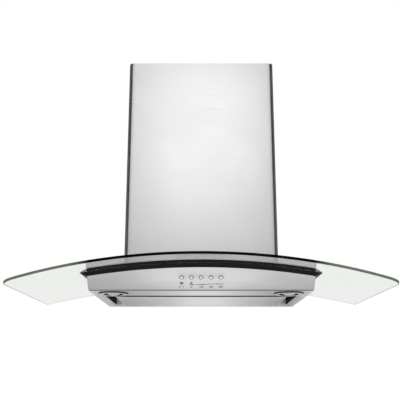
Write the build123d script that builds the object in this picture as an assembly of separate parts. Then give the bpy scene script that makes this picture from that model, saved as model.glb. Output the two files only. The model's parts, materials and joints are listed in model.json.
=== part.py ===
from build123d import *
import os
from math import atan, ceil, cos, pi, radians, sin, sqrt

# A wall-hung cooker hood under an arched glass canopy, in millimetres.
# Origin: on the wall, centred, level with the underside of the steel body.
# +X is the viewer's right, +Y points into the wall, +Z is up.

# Glass canopy: bent about an axis along Y, with a front edge bowed in plan
GLASS_W = 900.0
GLASS_D = 500.0
GLASS_T = 6.0
GLASS_BOW = 72.0
GLASS_CORNER_R = 44.0
GLASS_CROWN_Z = 63.6
ARCH_R = 1954.6

# Steel body under the glass
BODY_W = 533.0
BODY_D = 343.5
SHEET = 1.2
LEAN = 0.9
GASKET_H = 9.0
GASKET_FLARE = 16.5
GASKET_WALL = 5.0
PANEL_FLANGE = 14.0

# Opening in the underside, and the panel that hangs in it
WELL_HALF_W = 241.5
WELL_Y = (-249.0, -33.0)
PANEL_HALF_W = 218.5
PANEL_Y = (-226.0, -36.5)
PANEL_RIM_H = 9.0
HINGE_Y = -41.0
HINGE_Z = 5.0
HINGE_PIN_R = 2.0
HINGE_PLATE_T = 3.0
PIN_HEAD_R = 3.1
CATCH_X = 190.0
CATCH_Y = -212.0
MAGNET_HALF = 6.0
MAGNET_H = 6.0
MAGNET_GAP = 0.4

# Way up through the deck and the glass
DUCTWAY_HALF_W = 150.0
DUCTWAY_Y = (-243.0, -36.0)
DUCTWAY_CORNER_R = 12.0

# Grease filter below that way
FILTER_HALF_W = 147.0
FILTER_Y = (-240.0, -39.0)
FILTER_Z = (28.0, 37.0)
FILTER_FRONT_BAR = 24.0
FILTER_SIDE_BAR = 10.0
FILTER_CORNER_R = 4.0
TONGUE_HALF_W = 13.8
TONGUE_Z = (29.5, 31.5)
TONGUE_THROW = 5.0
TAB_HALF_W = 8.0

# Lamps in the front rail
LAMP_X = 214.0
LAMP_Y = -295.0
LAMP_RING_R = 36.5
LAMP_LENS_R = 23.5
LAMP_RING_H = 2.0
LAMP_CAN_R = 31.0
LAMP_CAN_TOP = 24.0
LAMP_CAN_WALL = 1.5
LAMP_COLLAR_R = (27.8, 29.3)
EMITTER_COUNT = 6
EMITTER_RING_R = 14.0
DRIVER_X = (-263.5, -244.5)
DRIVER_Y = (-205.0, -125.0)
DRIVER_Z = (3.0, 24.0)

# Push buttons in the leaning control panel
BUTTON_COUNT = 5
BUTTON_PITCH = 23.0
BUTTON_UP = 37.0
BUTTON_R = 4.7
BUTTON_DOME_R = 7.7
BUTTON_PROUD = 3.0
CAP_BACK = 4.5
CAP_FLANGE_R = 6.0
CAP_STEM_R = 2.5
COLLAR_R = 6.2
COLLAR_HOLE_R = 5.0
GUIDE_T = 3.0
SWITCH_SIDE = 8.0
BOARD_DEPTH = 17.3
BOARD_T = 1.6

# Blower
CHAMBER_HALF_W = 146.0
CHAMBER_Y = (-239.0, -40.0)
CHAMBER_TOP = 262.0
FAN_Y = -137.0
FAN_Z = 150.0
FAN_R = 68.0
FAN_HALF_W = 60.0
BLADE_COUNT = 36
SCROLL_HALF_W = 75.0
SCROLL_R = (76.0, 97.0)
SCROLL_START = 50.0
SCROLL_TURN = 230.0
INLET_R = 55.0
CASING_T = 1.5
BLADE_DEPTH = 13.0
BLADE_TWIST = 28.0
MOTOR_R = 40.0
MOTOR_X = (-98.0, -8.0)
SHAFT_R = 4.0
SHAFT_X = (-104.0, 26.0)
RUNNING_GAP = 0.05
BRACKET_ARMS = 3
BRACKET_SCREW_R = INLET_R + 14.0

# Duct collar on top of the blower
DUCT_R = 75.0
DUCT_WALL = 1.5
DUCT_Y = -160.0
DUCT_H = 60.0
DAMPER_Z = 290.0
DAMPER_PIN_R = 2.0
KNUCKLE_R = 3.6
KNUCKLE_STARTS = (-58.0, 12.0)
KNUCKLE_W = 18.0

# Electrical parts on top of the blower
CAPACITOR_AT = (105.0, -90.0)
CAPACITOR_R = 15.0
CAPACITOR_H = 60.0
TERMINAL_X = (-135.0, -85.0)
TERMINAL_Y = (-100.0, -48.0)
TERMINAL_H = 36.0
TERMINAL_WALL = 2.0
GLAND_AT = (-110.0, -74.0)
GLAND_BODY_R = 8.0
GLAND_CAP_R = 9.5
GLAND_BORE_R = 4.0

# Chimney: a lower cover, and an upper one that slides up out of it
CHIMNEY_HALF_W = 193.0
CHIMNEY_D = 283.0
CHIMNEY_TOP = 625.0
CHIMNEY_CORNER_R = 10.0
CHIMNEY_RETURN = 12.0
SLEEVE_GAP = 1.2
UPPER_Z = (226.0, 622.0)
VENT_SLOTS = 8
VENT_SLOT_Z = (540.0, 580.0)
VENT_FIRST_Y = -220.0
VENT_PITCH = 20.0

# Fixings
GLASS_BOLT_X = 172.0
GLASS_BOLT_Y = (-215.0, -60.0)
GLASS_HOLE_R = 5.0
BOLT_R = 3.0
BOLT_HEAD_R = 5.0
BOLT_HEAD_H = 4.0
SPACER_R = 8.0
WASHER_R = 9.0
WASHER_T = 1.6
NUT_R = 5.5
NUT_H = 5.0
NUT_DOME_R = 4.6
WALL_HOLE_X = 110.0
WALL_HOLE_Z = (110.0, 220.0)
WALL_HOLE_R = 4.0
BRACKET_HOLE_X = 150.0
BRACKET_HOLE_R = 3.0
BRACKET_Z = 606.0
BRACKET_HALF_H = 12.0
BRACKET_T = 1.5
COVER_SCREW_Y = -18.0
COVER_SCREW_R = 2.0
SIDE_SCREW_Y = -12.0
SIDE_SCREW_Z = 82.0
SIDE_SCREW_R = 1.8

FIT = 0.1          # faces of one body that only just meet
CLEAR = 0.3        # faces that move past each other
TALL = 100.0       # taller than anything between the body and the glass
ARCH_Z = GLASS_CROWN_Z - ARCH_R
R_UNDER = ARCH_R - GLASS_T
R_BODY = R_UNDER - GASKET_H
R_DECK_UNDER = R_BODY - SHEET
LEAN_ANGLE = atan(LEAN)
SKIN_Y = SHEET / cos(LEAN_ANGLE)
FRONT = Plane(
    origin=(0, -BODY_D, 0),
    x_dir=(1, 0, 0),
    z_dir=(0, -cos(LEAN_ANGLE), -sin(LEAN_ANGLE)),
).location


# ---------------------------------------------------------------- shapes
def block(x, y, z):
    """Box between a low and a high limit on each axis."""
    size = [high - low for low, high in (x, y, z)]
    middle = [(high + low) / 2 for low, high in (x, y, z)]
    return Pos(*middle) * Box(*size)


def both_sides(part):
    """A piece and its mirror image across the centre plane."""
    return part + mirror(part, about=Plane.YZ)


def bar_x(outline, x):
    """Straight bar along X, from an outline of (y, z) points."""
    points = [(x[0], y, z) for y, z in outline]
    return extrude(make_face(Polyline(*points, close=True)), x[1] - x[0], dir=(1, 0, 0))


def bar_y(outline, y):
    """Straight bar along Y, from an outline of (x, z) points."""
    points = [(x, y[0], z) for x, z in outline]
    return extrude(make_face(Polyline(*points, close=True)), y[1] - y[0], dir=(0, 1, 0))


def disc(x, y, radius, z):
    """Upright round bar."""
    return Pos(x, y, (z[0] + z[1]) / 2) * Cylinder(radius, z[1] - z[0])


def rod(y, z, radius, x):
    """Round bar along X."""
    return Pos((x[0] + x[1]) / 2, y, z) * Rot(0, 90, 0) * Cylinder(radius, x[1] - x[0])


def peg(x, z, radius, y):
    """Round bar along Y."""
    return Pos(x, (y[0] + y[1]) / 2, z) * Rot(90, 0, 0) * Cylinder(radius, y[1] - y[0])


def under_arch(radius):
    """Everything below an arch that shares the glass's bending axis."""
    return Pos(0, -GLASS_D / 2, ARCH_Z) * Rot(90, 0, 0) * Cylinder(radius, 3 * GLASS_D)


def arch_z(radius, x):
    """Height of such an arch at a distance from the centre."""
    return ARCH_Z + sqrt(radius**2 - x**2)


def lean_block(half_width, front_y, back_y=0.0, bottom=0.0):
    """Block whose front face leans forward as it rises."""
    top = 90.0
    outline = [
        (back_y, bottom),
        (front_y - LEAN * bottom, bottom),
        (front_y - LEAN * top, top),
        (back_y, top),
    ]
    return bar_x(outline, (-half_width, half_width))


def on_panel(x, up, out, part):
    """Place a part on the control panel: across, up its face, and out of it."""
    return FRONT * Pos(x, up, out) * part


def front_rounded(half_width, y, z, radius):
    """Upright box with its two front corners rounded."""
    part = block((-half_width, half_width), y, z)
    corners = part.edges().filter_by(Axis.Z).sort_by(Axis.Y)[:2]
    return fillet(corners, radius)


def glass_bolt_places():
    return [(side * GLASS_BOLT_X, y) for side in (-1, 1) for y in GLASS_BOLT_Y]


# ---------------------------------------------------------------- canopy
def glass_canopy():
    half = GLASS_W / 2
    side_y = GLASS_BOW - GLASS_D
    sides = Polyline((-half, side_y), (-half, 0), (half, 0), (half, side_y))
    front = ThreePointArc((half, side_y), (0, -GLASS_D), (-half, side_y))
    plan = make_face(sides + front)
    plan = fillet(plan.vertices().sort_by(Axis.Y)[:2], GLASS_CORNER_R)
    glass = extrude(plan, TALL) & (under_arch(ARCH_R) - under_arch(R_UNDER))
    opening = block((-DUCTWAY_HALF_W, DUCTWAY_HALF_W), DUCTWAY_Y, (0, TALL))
    opening = fillet(opening.edges().filter_by(Axis.Z), DUCTWAY_CORNER_R)
    glass -= opening
    for x, y in glass_bolt_places():
        glass -= disc(x, y, GLASS_HOLE_R, (0, TALL))
    return glass


def glass_gasket():
    """Black collar between body and glass, spreading outward at its sides."""
    low = arch_z(R_BODY, BODY_W / 2)
    high = arch_z(R_UNDER, BODY_W / 2 + GASKET_FLARE)
    slope = GASKET_FLARE / (high - low)

    def envelope(inset, back_y):
        half_low = BODY_W / 2 - inset - slope * low
        half_high = half_low + slope * 90
        sides = [(-half_high, 90), (-half_low, 0), (half_low, 0), (half_high, 90)]
        block_between = bar_y(sides, (-GLASS_D, back_y))
        return block_between & lean_block(GLASS_W / 2, inset - BODY_D, back_y)

    collar = envelope(0, 0) - envelope(GASKET_WALL, -GASKET_WALL)
    return (collar & under_arch(R_UNDER - FIT)) - under_arch(R_BODY + FIT)


def bolt_ring(radius):
    """Upright rings round the four glass bolts."""
    bore = BOLT_R + FIT
    rings = [
        disc(x, y, radius, (0, TALL)) - disc(x, y, bore, (0, TALL)) for x, y in glass_bolt_places()
    ]
    return Part() + rings


def glass_spacers():
    """Rubber sleeves that carry the glass at its four bolts."""
    return (bolt_ring(SPACER_R) & under_arch(R_UNDER - FIT)) - under_arch(R_BODY + FIT)


def glass_washers():
    return (bolt_ring(WASHER_R) & under_arch(ARCH_R + WASHER_T)) - under_arch(ARCH_R + FIT)


def glass_bolts():
    """Hexagon bolts up through the glass, heads under the deck."""
    head_top = arch_z(R_DECK_UNDER, GLASS_BOLT_X + BOLT_R * 2) - 1
    tip = arch_z(ARCH_R, GLASS_BOLT_X) + WASHER_T + NUT_H + 1.4
    head = extrude(RegularPolygon(BOLT_HEAD_R, 6), BOLT_HEAD_H)
    bolts = Part()
    for x, y in glass_bolt_places():
        bolts += disc(x, y, BOLT_R, (head_top - 1, tip))
        bolts += Pos(x, y, head_top - BOLT_HEAD_H) * head
    return bolts


def glass_nuts():
    """Domed nuts on top of the glass."""
    seat = arch_z(ARCH_R, GLASS_BOLT_X - BOLT_R * 2) + WASHER_T + FIT
    nut = extrude(RegularPolygon(NUT_R, 6), NUT_H)
    nut += disc(0, 0, NUT_DOME_R, (NUT_H / 2, NUT_H + 3.5))
    nut = fillet(nut.edges().sort_by(Axis.Z)[-1], 2.0)
    nut -= disc(0, 0, BOLT_R + FIT / 5, (-1, NUT_H + 1))
    return Part() + [Pos(x, y, seat) * nut for x, y in glass_bolt_places()]


# ---------------------------------------------------------------- steel body
def body_shell():
    """Folded casing: two sides, a back and an arched deck."""
    outer = lean_block(BODY_W / 2, SKIN_Y - BODY_D) & under_arch(R_BODY)
    hollow = lean_block(BODY_W / 2 - SHEET, -BODY_D - 20, -SHEET, bottom=-1)
    shell = outer - (hollow & under_arch(R_DECK_UNDER))
    shell -= block((-DUCTWAY_HALF_W, DUCTWAY_HALF_W), DUCTWAY_Y, (0, TALL))
    for x, y in glass_bolt_places():
        shell -= disc(x, y, BOLT_R + 2 * FIT, (0, TALL))
    return shell


def control_panel():
    """Leaning front plate with an arched top edge and flanges turned inward."""
    face_y = -BODY_D
    back_face = SKIN_Y - BODY_D
    plate = lean_block(BODY_W / 2, face_y) - lean_block(BODY_W, back_face, bottom=-1)
    plate &= under_arch(R_BODY)
    rim = lean_block(BODY_W / 2 - SHEET - FIT, back_face, bottom=SHEET + FIT)
    rim &= under_arch(R_DECK_UNDER - FIT)
    inside = lean_block(BODY_W / 2 - 2 * SHEET, face_y - 5, bottom=2 * SHEET + FIT)
    rim -= inside & under_arch(R_DECK_UNDER - SHEET)
    rim -= lean_block(BODY_W, back_face + PANEL_FLANGE, bottom=-1)
    panel = plate + rim
    for x in button_places():
        panel -= on_panel(x, BUTTON_UP, 0, Cylinder(COLLAR_R + FIT / 2, 20))
    return panel


def bottom_frame():
    """Underside rails round the opening, with its upright inner walls."""
    half = BODY_W / 2 - SHEET - FIT
    rails = block((-half, half), (SKIN_Y - BODY_D + FIT, -SHEET - FIT), (0, SHEET))
    well_out = WELL_HALF_W + SHEET
    walls = block((-well_out, well_out), (WELL_Y[0] - SHEET, WELL_Y[1] + SHEET), (0, TALL))
    frame = rails + (walls & under_arch(R_DECK_UNDER - 2 * FIT))
    frame -= block((-WELL_HALF_W, WELL_HALF_W), WELL_Y, (-1, TALL))
    for side in (-1, 1):
        frame -= disc(side * LAMP_X, LAMP_Y, LAMP_CAN_R + 1, (-SHEET, 2 * SHEET))
    return frame


def filter_support():
    """Sleeve hung from the deck, with a ledge behind and a catch slot in front."""
    inner_x = DUCTWAY_HALF_W + 2 * FIT
    inner_y = (DUCTWAY_Y[0] - 2 * FIT, DUCTWAY_Y[1] + 0.8)
    outer_x = inner_x + SHEET
    outer_y = (inner_y[0] - SHEET, inner_y[1] + SHEET)
    bottom = FILTER_Z[0] - SHEET - CLEAR
    sleeve = block((-outer_x, outer_x), outer_y, (bottom, TALL)) & under_arch(R_DECK_UNDER - FIT)
    sleeve -= block((-inner_x, inner_x), inner_y, (0, TALL))
    ledge_half = inner_x - FILTER_SIDE_BAR
    sleeve += block((-ledge_half, ledge_half), (FILTER_Y[1] - 6, inner_y[1]), (bottom, bottom + SHEET))
    catch_half = TONGUE_HALF_W + SHEET
    catch_z = (TONGUE_Z[0] - 2 * CLEAR, TONGUE_Z[1] + 0.5)
    return sleeve - block((-catch_half, catch_half), (outer_y[0] - 1, inner_y[0] + 1), catch_z)


# ---------------------------------------------------------------- filter
def filter_frame():
    """Aluminium rim of the grease filter, its front bar hollowed for the latch."""
    frame = block((-FILTER_HALF_W, FILTER_HALF_W), FILTER_Y, FILTER_Z)
    frame = fillet(frame.edges().filter_by(Axis.Z), FILTER_CORNER_R)
    window_x = FILTER_HALF_W - FILTER_SIDE_BAR
    window_y = (FILTER_Y[0] + FILTER_FRONT_BAR, FILTER_Y[1] - FILTER_SIDE_BAR)
    frame -= block((-window_x, window_x), window_y, (0, TALL))
    pocket_half = TONGUE_HALF_W + 0.5
    pocket_end = FILTER_Y[0] + FILTER_FRONT_BAR - 4
    pocket_z = (TONGUE_Z[0] - CLEAR, TONGUE_Z[1] + CLEAR)
    frame -= block((-pocket_half, pocket_half), (FILTER_Y[0] - 1, pocket_end), pocket_z)
    slot_half = TAB_HALF_W + 0.5
    return frame - block((-slot_half, slot_half), (FILTER_Y[0] + 4, pocket_end), (20, TONGUE_Z[0] + 0.5))


def filter_mesh():
    """Pack of layered mesh, as one slab of its outer size."""
    half = FILTER_HALF_W - FILTER_SIDE_BAR - FIT
    y = (FILTER_Y[0] + FILTER_FRONT_BAR + FIT, FILTER_Y[1] - FILTER_SIDE_BAR - FIT)
    return block((-half, half), y, (FILTER_Z[0] + 1, FILTER_Z[1] - 1))


def filter_latch():
    """Sprung tongue with a finger tab, pulled back to free the filter."""
    front = FILTER_Y[0]
    tongue = block((-TONGUE_HALF_W, TONGUE_HALF_W), (front - TONGUE_THROW, front + 15), TONGUE_Z)
    tab = block((-TAB_HALF_W, TAB_HALF_W), (front + 8, front + 12), (17, TONGUE_Z[0] + 0.5))
    tab = fillet(tab.edges().filter_by(Axis.X).sort_by(Axis.Z)[:2], 1.5)
    return tongue + tab


# ---------------------------------------------------------------- hinged panel
def perimetric_panel():
    """Flat suction panel: a shallow tray with a rim turned up all round."""
    tray = block((-PANEL_HALF_W, PANEL_HALF_W), PANEL_Y, (0, PANEL_RIM_H))
    tray = fillet(tray.edges().filter_by(Axis.Z), 1.8)
    hollow_x = PANEL_HALF_W - SHEET
    hollow = block((-hollow_x, hollow_x), (PANEL_Y[0] + SHEET, PANEL_Y[1] - SHEET), (SHEET, 20))
    tray -= fillet(hollow.edges().filter_by(Axis.Z), 1.8 - SHEET)
    for side in (-1, 1):
        tray -= rod(HINGE_Y, HINGE_Z, HINGE_PIN_R, sorted((side * CATCH_X, side * WELL_HALF_W)))
    return tray


def panel_pins():
    pin = rod(HINGE_Y, HINGE_Z, HINGE_PIN_R, (PANEL_HALF_W - 4, PANEL_HALF_W + 8))
    pin += rod(HINGE_Y, HINGE_Z, PIN_HEAD_R, (PANEL_HALF_W - 4, PANEL_HALF_W - SHEET))
    return both_sides(pin)


def hinge_brackets():
    """Angles on the rear wall of the opening that carry the panel's pins."""
    inner = PANEL_HALF_W + HINGE_PLATE_T
    rear = WELL_Y[1] - FIT / 2
    z = (SHEET / 2, 10 * SHEET)
    plate = block((inner, inner + HINGE_PLATE_T), (HINGE_Y - 6, rear), z)
    plate = fillet(plate.edges().filter_by(Axis.X).sort_by(Axis.Y)[:2], 4)
    plate -= rod(HINGE_Y, HINGE_Z, HINGE_PIN_R + RUNNING_GAP, (CATCH_X, WELL_HALF_W))
    foot = block((inner, WELL_HALF_W - 4), (rear - HINGE_PLATE_T / 2, rear), z)
    return both_sides(plate + foot)


def catch_block(half_x, half_y, z):
    """Upright block centred on a magnet catch."""
    return block((CATCH_X - half_x, CATCH_X + half_x), (CATCH_Y - half_y, CATCH_Y + half_y), z)


def panel_strikes():
    """Steel bridges on the panel that the magnets hold."""
    half = MAGNET_HALF + 3
    outer = catch_block(half, half, (SHEET, PANEL_RIM_H))
    return both_sides(outer - catch_block(half - SHEET, half + 1, (0, PANEL_RIM_H - SHEET)))


def magnets():
    low = PANEL_RIM_H + MAGNET_GAP
    return both_sides(catch_block(MAGNET_HALF, MAGNET_HALF, (low, low + MAGNET_H)))


def magnet_posts():
    """Posts that carry the magnets under the deck."""
    low = PANEL_RIM_H + 2
    half = MAGNET_HALF + 1
    post = catch_block(half, half, (low, TALL)) & under_arch(R_DECK_UNDER - FIT)
    top = PANEL_RIM_H + MAGNET_GAP + MAGNET_H
    return both_sides(post - catch_block(MAGNET_HALF, MAGNET_HALF, (low - 1, top)))


# ---------------------------------------------------------------- lamps
def lamp_disc(radius, z):
    return disc(LAMP_X, LAMP_Y, radius, z)


def lamp_bezels():
    """Flat rings that stand proud of the rail, with a collar up into the lamp."""
    collar_z = (0, 5 * SHEET)
    ring = lamp_disc(LAMP_RING_R, (-LAMP_RING_H, 0))
    ring = fillet(ring.edges().sort_by(Axis.Z)[0], 0.8)
    ring += lamp_disc(LAMP_COLLAR_R[1], collar_z) - lamp_disc(LAMP_COLLAR_R[0], collar_z)
    return both_sides(ring - lamp_disc(LAMP_LENS_R, (-LAMP_RING_H - 1, 1)))


def lamp_lenses():
    """Stepped lenses: the low part fills the ring's opening."""
    low = lamp_disc(LAMP_LENS_R - FIT, (-2 * FIT, 3 * FIT))
    return both_sides(low + lamp_disc(LAMP_COLLAR_R[0] - CLEAR, (FIT, 1.6)))


def lamp_housings():
    can = lamp_disc(LAMP_CAN_R, (SHEET + FIT, LAMP_CAN_TOP))
    can -= lamp_disc(LAMP_CAN_R - LAMP_CAN_WALL, (0, LAMP_CAN_TOP - 2))
    return both_sides(can)


def lamp_boards():
    """Round light boards with their rings of emitters."""
    top = LAMP_CAN_TOP - 2 - FIT
    board = lamp_disc(LAMP_CAN_R - 5, (top - BOARD_T, top))
    emitter = Pos(0, 0, top - BOARD_T - 0.4) * Box(4, 4, 0.8)
    for step in range(EMITTER_COUNT):
        angle = step * 2 * pi / EMITTER_COUNT
        x = LAMP_X + EMITTER_RING_R * cos(angle)
        y = LAMP_Y + EMITTER_RING_R * sin(angle)
        board += Pos(x, y, 0) * emitter
    return both_sides(board)


def lamp_driver():
    case = block(DRIVER_X, DRIVER_Y, DRIVER_Z)
    return fillet(case.edges().filter_by(Axis.Z), 2)


# ---------------------------------------------------------------- controls
def button_places():
    middle = (BUTTON_COUNT - 1) / 2
    return [(step - middle) * BUTTON_PITCH for step in range(BUTTON_COUNT)]


def button(x):
    """Domed cap, with a retaining flange and a stem behind."""
    dome = Pos(0, 0, BUTTON_PROUD - BUTTON_DOME_R) * Sphere(BUTTON_DOME_R)
    cap = disc(0, 0, BUTTON_R, (-CAP_BACK - 0.5, BUTTON_PROUD)) & dome
    cap += disc(0, 0, CAP_FLANGE_R, (-CAP_BACK - 1.1, -CAP_BACK))
    cap += disc(0, 0, CAP_STEM_R, (-CAP_BACK - 2.5, -CAP_BACK - 1.1))
    return on_panel(x, BUTTON_UP, 0, cap)


def button_guide():
    """Plate behind the panel, with a collar through it round each button."""
    half = BUTTON_PITCH * BUTTON_COUNT / 2 + 5
    guide = on_panel(0, BUTTON_UP, -SHEET - FIT - GUIDE_T / 2, Box(2 * half, 24, GUIDE_T))
    for x in button_places():
        guide += on_panel(x, BUTTON_UP, -0.9, Cylinder(COLLAR_R, GUIDE_T))
    for x in button_places():
        guide -= on_panel(x, BUTTON_UP, 0, Cylinder(COLLAR_HOLE_R, 30))
    return guide


def switches():
    """One small push switch behind each button."""
    height = 6.0
    body_top = FIT - BOARD_DEPTH + BOARD_T / 2 + height
    switch = Pos(0, 0, body_top - height / 2) * Box(SWITCH_SIDE, SWITCH_SIDE, height)
    switch += disc(0, 0, 1.5, (body_top, body_top + 1))
    return Part() + [on_panel(x, BUTTON_UP, 0, switch) for x in button_places()]


def control_board():
    half = BUTTON_PITCH * BUTTON_COUNT / 2 + 4
    back = -BOARD_DEPTH - BOARD_T / 2
    board = on_panel(0, BUTTON_UP - 3, -BOARD_DEPTH, Box(2 * half, 18, BOARD_T))
    chip = on_panel(-34, BUTTON_UP - 5, back - 1, Box(12, 10, 2))
    socket = on_panel(40, BUTTON_UP - 7, back - 3, Box(16, 8, 6))
    return board + chip + socket


def board_posts():
    """Four posts between the guide plate and the board."""
    top = -SHEET - FIT - GUIDE_T - FIT
    post = disc(0, 0, 2.5, (BOARD_T / 2 + FIT - BOARD_DEPTH, top))
    x = BUTTON_PITCH * BUTTON_COUNT / 2
    places = [(side * x, BUTTON_UP + rise) for side in (-1, 1) for rise in (-8, 3)]
    return Part() + [on_panel(px, up, 0, post) for px, up in places]


# ---------------------------------------------------------------- blower
def blower_chamber():
    """Sheet box over the way up, open below, with a flange on the deck."""
    half = CHAMBER_HALF_W
    lip = 12.0
    walls = block((-half, half), CHAMBER_Y, (0, CHAMBER_TOP))
    inner_y = (CHAMBER_Y[0] + SHEET, CHAMBER_Y[1] - SHEET)
    walls -= block((-half + SHEET, half - SHEET), inner_y, (-1, CHAMBER_TOP - SHEET))
    flange_y = (CHAMBER_Y[0] - lip, CHAMBER_Y[1] + lip)
    flange = block((-half - lip - 2, half + lip + 2), flange_y, (0, TALL))
    flange -= block((-half, half), CHAMBER_Y, (-1, TALL + 1))
    flange &= under_arch(R_BODY + FIT + SHEET)
    chamber = (walls + flange) - under_arch(R_BODY + FIT)
    return chamber - disc(0, DUCT_Y, DUCT_R - DUCT_WALL, (CHAMBER_TOP - 10, CHAMBER_TOP + 10))


def scroll_outline(extra):
    """Spiral casing outline with its mouth upward, as a face in the YZ plane."""
    start = radians(SCROLL_START)
    steps = ceil(SCROLL_TURN / 23)
    points = []
    for step in range(steps + 1):
        share = step / steps
        angle = start - share * radians(SCROLL_TURN)
        radius = SCROLL_R[0] + share * (SCROLL_R[1] - SCROLL_R[0]) + extra
        points.append((FAN_Y + radius * cos(angle), FAN_Z + radius * sin(angle)))
    mouth_z = CHAMBER_TOP - SHEET - FIT
    spiral = Spline(*points)
    mouth = Polyline(
        points[-1], (points[-1][0], mouth_z), (points[0][0], mouth_z), points[0]
    )
    return Plane.YZ * make_face(spiral + mouth)


def volute():
    """Fan casing with a round inlet in each side and a square mouth on top."""
    inner_half = SCROLL_HALF_W - CASING_T
    outer = extrude(scroll_outline(CASING_T), SCROLL_HALF_W, both=True)
    inner = extrude(scroll_outline(0), inner_half, both=True)
    mouth_z = (CHAMBER_TOP - 8, CHAMBER_TOP)
    mouth_y = (FAN_Y - SCROLL_R[1], FAN_Y + SCROLL_R[0] * cos(radians(SCROLL_START)))
    inner += block((-inner_half, inner_half), mouth_y, mouth_z)
    inlet = rod(FAN_Y, FAN_Z, INLET_R + 2, (-SCROLL_HALF_W - 1, SCROLL_HALF_W + 1))
    return outer - inner - inlet


def inlet_rings():
    """Rolled inlet mouths on both sides of the casing."""
    ring = rod(FAN_Y, FAN_Z, INLET_R + 6, (SCROLL_HALF_W + FIT, SCROLL_HALF_W + 4))
    ring += rod(FAN_Y, FAN_Z, INLET_R + 1.9, (SCROLL_HALF_W - 8, SCROLL_HALF_W + 1))
    ring -= rod(FAN_Y, FAN_Z, INLET_R, (0, SCROLL_HALF_W + 5))
    mouth = ring.edges().filter_by(GeomType.CIRCLE).group_by(Axis.X)[-1].sort_by(SortBy.RADIUS)
    return both_sides(fillet(mouth, 1.6))


def impeller():
    """Drum of forward-leaning blades on a middle disc."""
    rim_t = 2.0
    plate = rod(FAN_Y, FAN_Z, FAN_R, (4, 4 + rim_t))
    hub = rod(FAN_Y, FAN_Z, 11, (2, 22))
    wheel = plate + hub
    for x in (-FAN_HALF_W, FAN_HALF_W - rim_t):
        rim = (x, x + rim_t)
        wheel += rod(FAN_Y, FAN_Z, FAN_R, rim) - rod(FAN_Y, FAN_Z, FAN_R - BLADE_DEPTH, rim)
    blade = Box(2 * FAN_HALF_W, BLADE_DEPTH - 2, 1.0)
    blade = Pos(0, FAN_R - BLADE_DEPTH / 2, 0) * Rot(BLADE_TWIST, 0, 0) * blade
    turns = [Rot(step * 360 / BLADE_COUNT, 0, 0) * blade for step in range(BLADE_COUNT)]
    wheel += [Pos(0, FAN_Y, FAN_Z) * turned for turned in turns]
    return wheel - rod(FAN_Y, FAN_Z, SHAFT_R, (0, SHAFT_X[1]))


def motor_shaft():
    return rod(FAN_Y, FAN_Z, SHAFT_R, SHAFT_X)


def fan_motor():
    """Motor can reaching into the drum from the left, with a running bore."""
    can = rod(FAN_Y, FAN_Z, MOTOR_R, MOTOR_X)
    can = fillet(can.edges().filter_by(GeomType.CIRCLE), 4)
    can += rod(FAN_Y, FAN_Z, 3 * SHAFT_R, (MOTOR_X[0] - 4, MOTOR_X[1] + 6))
    return can - rod(FAN_Y, FAN_Z, SHAFT_R + RUNNING_GAP, (MOTOR_X[0] - 5, MOTOR_X[1] + 7))


def bracket_arm_angles():
    return [90 + step * 360 / BRACKET_ARMS for step in range(BRACKET_ARMS)]


def motor_bracket():
    """Ring round the motor with three arms out to the casing."""
    foot_h = 4.0
    width = 12.0
    plate_t = 3.4
    x = (-SCROLL_HALF_W - foot_h - FIT - plate_t, -SCROLL_HALF_W - foot_h - FIT)
    ring = rod(FAN_Y, FAN_Z, MOTOR_R + 5, x)
    arm = block(x, (MOTOR_R + 2, BRACKET_SCREW_R + width / 2), (-width / 2, width / 2))
    foot = Pos(x[1] + foot_h / 2, BRACKET_SCREW_R, 0) * Box(foot_h, width, width)
    for angle in bracket_arm_angles():
        ring += Pos(0, FAN_Y, FAN_Z) * Rot(angle, 0, 0) * (arm + foot)
    return ring - rod(FAN_Y, FAN_Z, MOTOR_R + FIT, MOTOR_X)


def motor_screws():
    screw = rod(BRACKET_SCREW_R, 0, 3.5, (-SCROLL_HALF_W - 10.4, -SCROLL_HALF_W - 7.6))
    placed = [Rot(angle, 0, 0) * screw for angle in bracket_arm_angles()]
    return Part() + [Pos(0, FAN_Y, FAN_Z) * one for one in placed]


def capacitor():
    can = disc(*CAPACITOR_AT, CAPACITOR_R, (CHAMBER_TOP + FIT, CHAMBER_TOP + CAPACITOR_H))
    return fillet(can.edges().sort_by(Axis.Z)[-1], 3)


def inset(limits, depth):
    return (limits[0] + depth, limits[1] - depth)


def terminal_box():
    """Mains connection box, open at the gland."""
    z = (CHAMBER_TOP + FIT, CHAMBER_TOP + FIT + TERMINAL_H)
    case = block(TERMINAL_X, TERMINAL_Y, z)
    case = fillet(case.edges().filter_by(Axis.Z), 3)
    case -= block(*[inset(limits, TERMINAL_WALL) for limits in (TERMINAL_X, TERMINAL_Y, z)])
    return case - disc(*GLAND_AT, GLAND_BODY_R, (z[1] - 2 * TERMINAL_WALL, z[1] + 1))


def cable_gland():
    """Screwed gland for the supply cable."""
    seat = CHAMBER_TOP + FIT + TERMINAL_H
    gland = disc(*GLAND_AT, GLAND_BODY_R - FIT, (seat - 6, seat + 2))
    gland += Pos(*GLAND_AT, seat + FIT) * extrude(RegularPolygon(12, 6), 5)
    gland += disc(*GLAND_AT, GLAND_CAP_R, (seat + 5, seat + 16))
    gland = fillet(gland.edges().sort_by(Axis.Z)[-1], 2.5)
    return gland - disc(*GLAND_AT, GLAND_BORE_R, (seat - 7, seat + 17))


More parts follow.
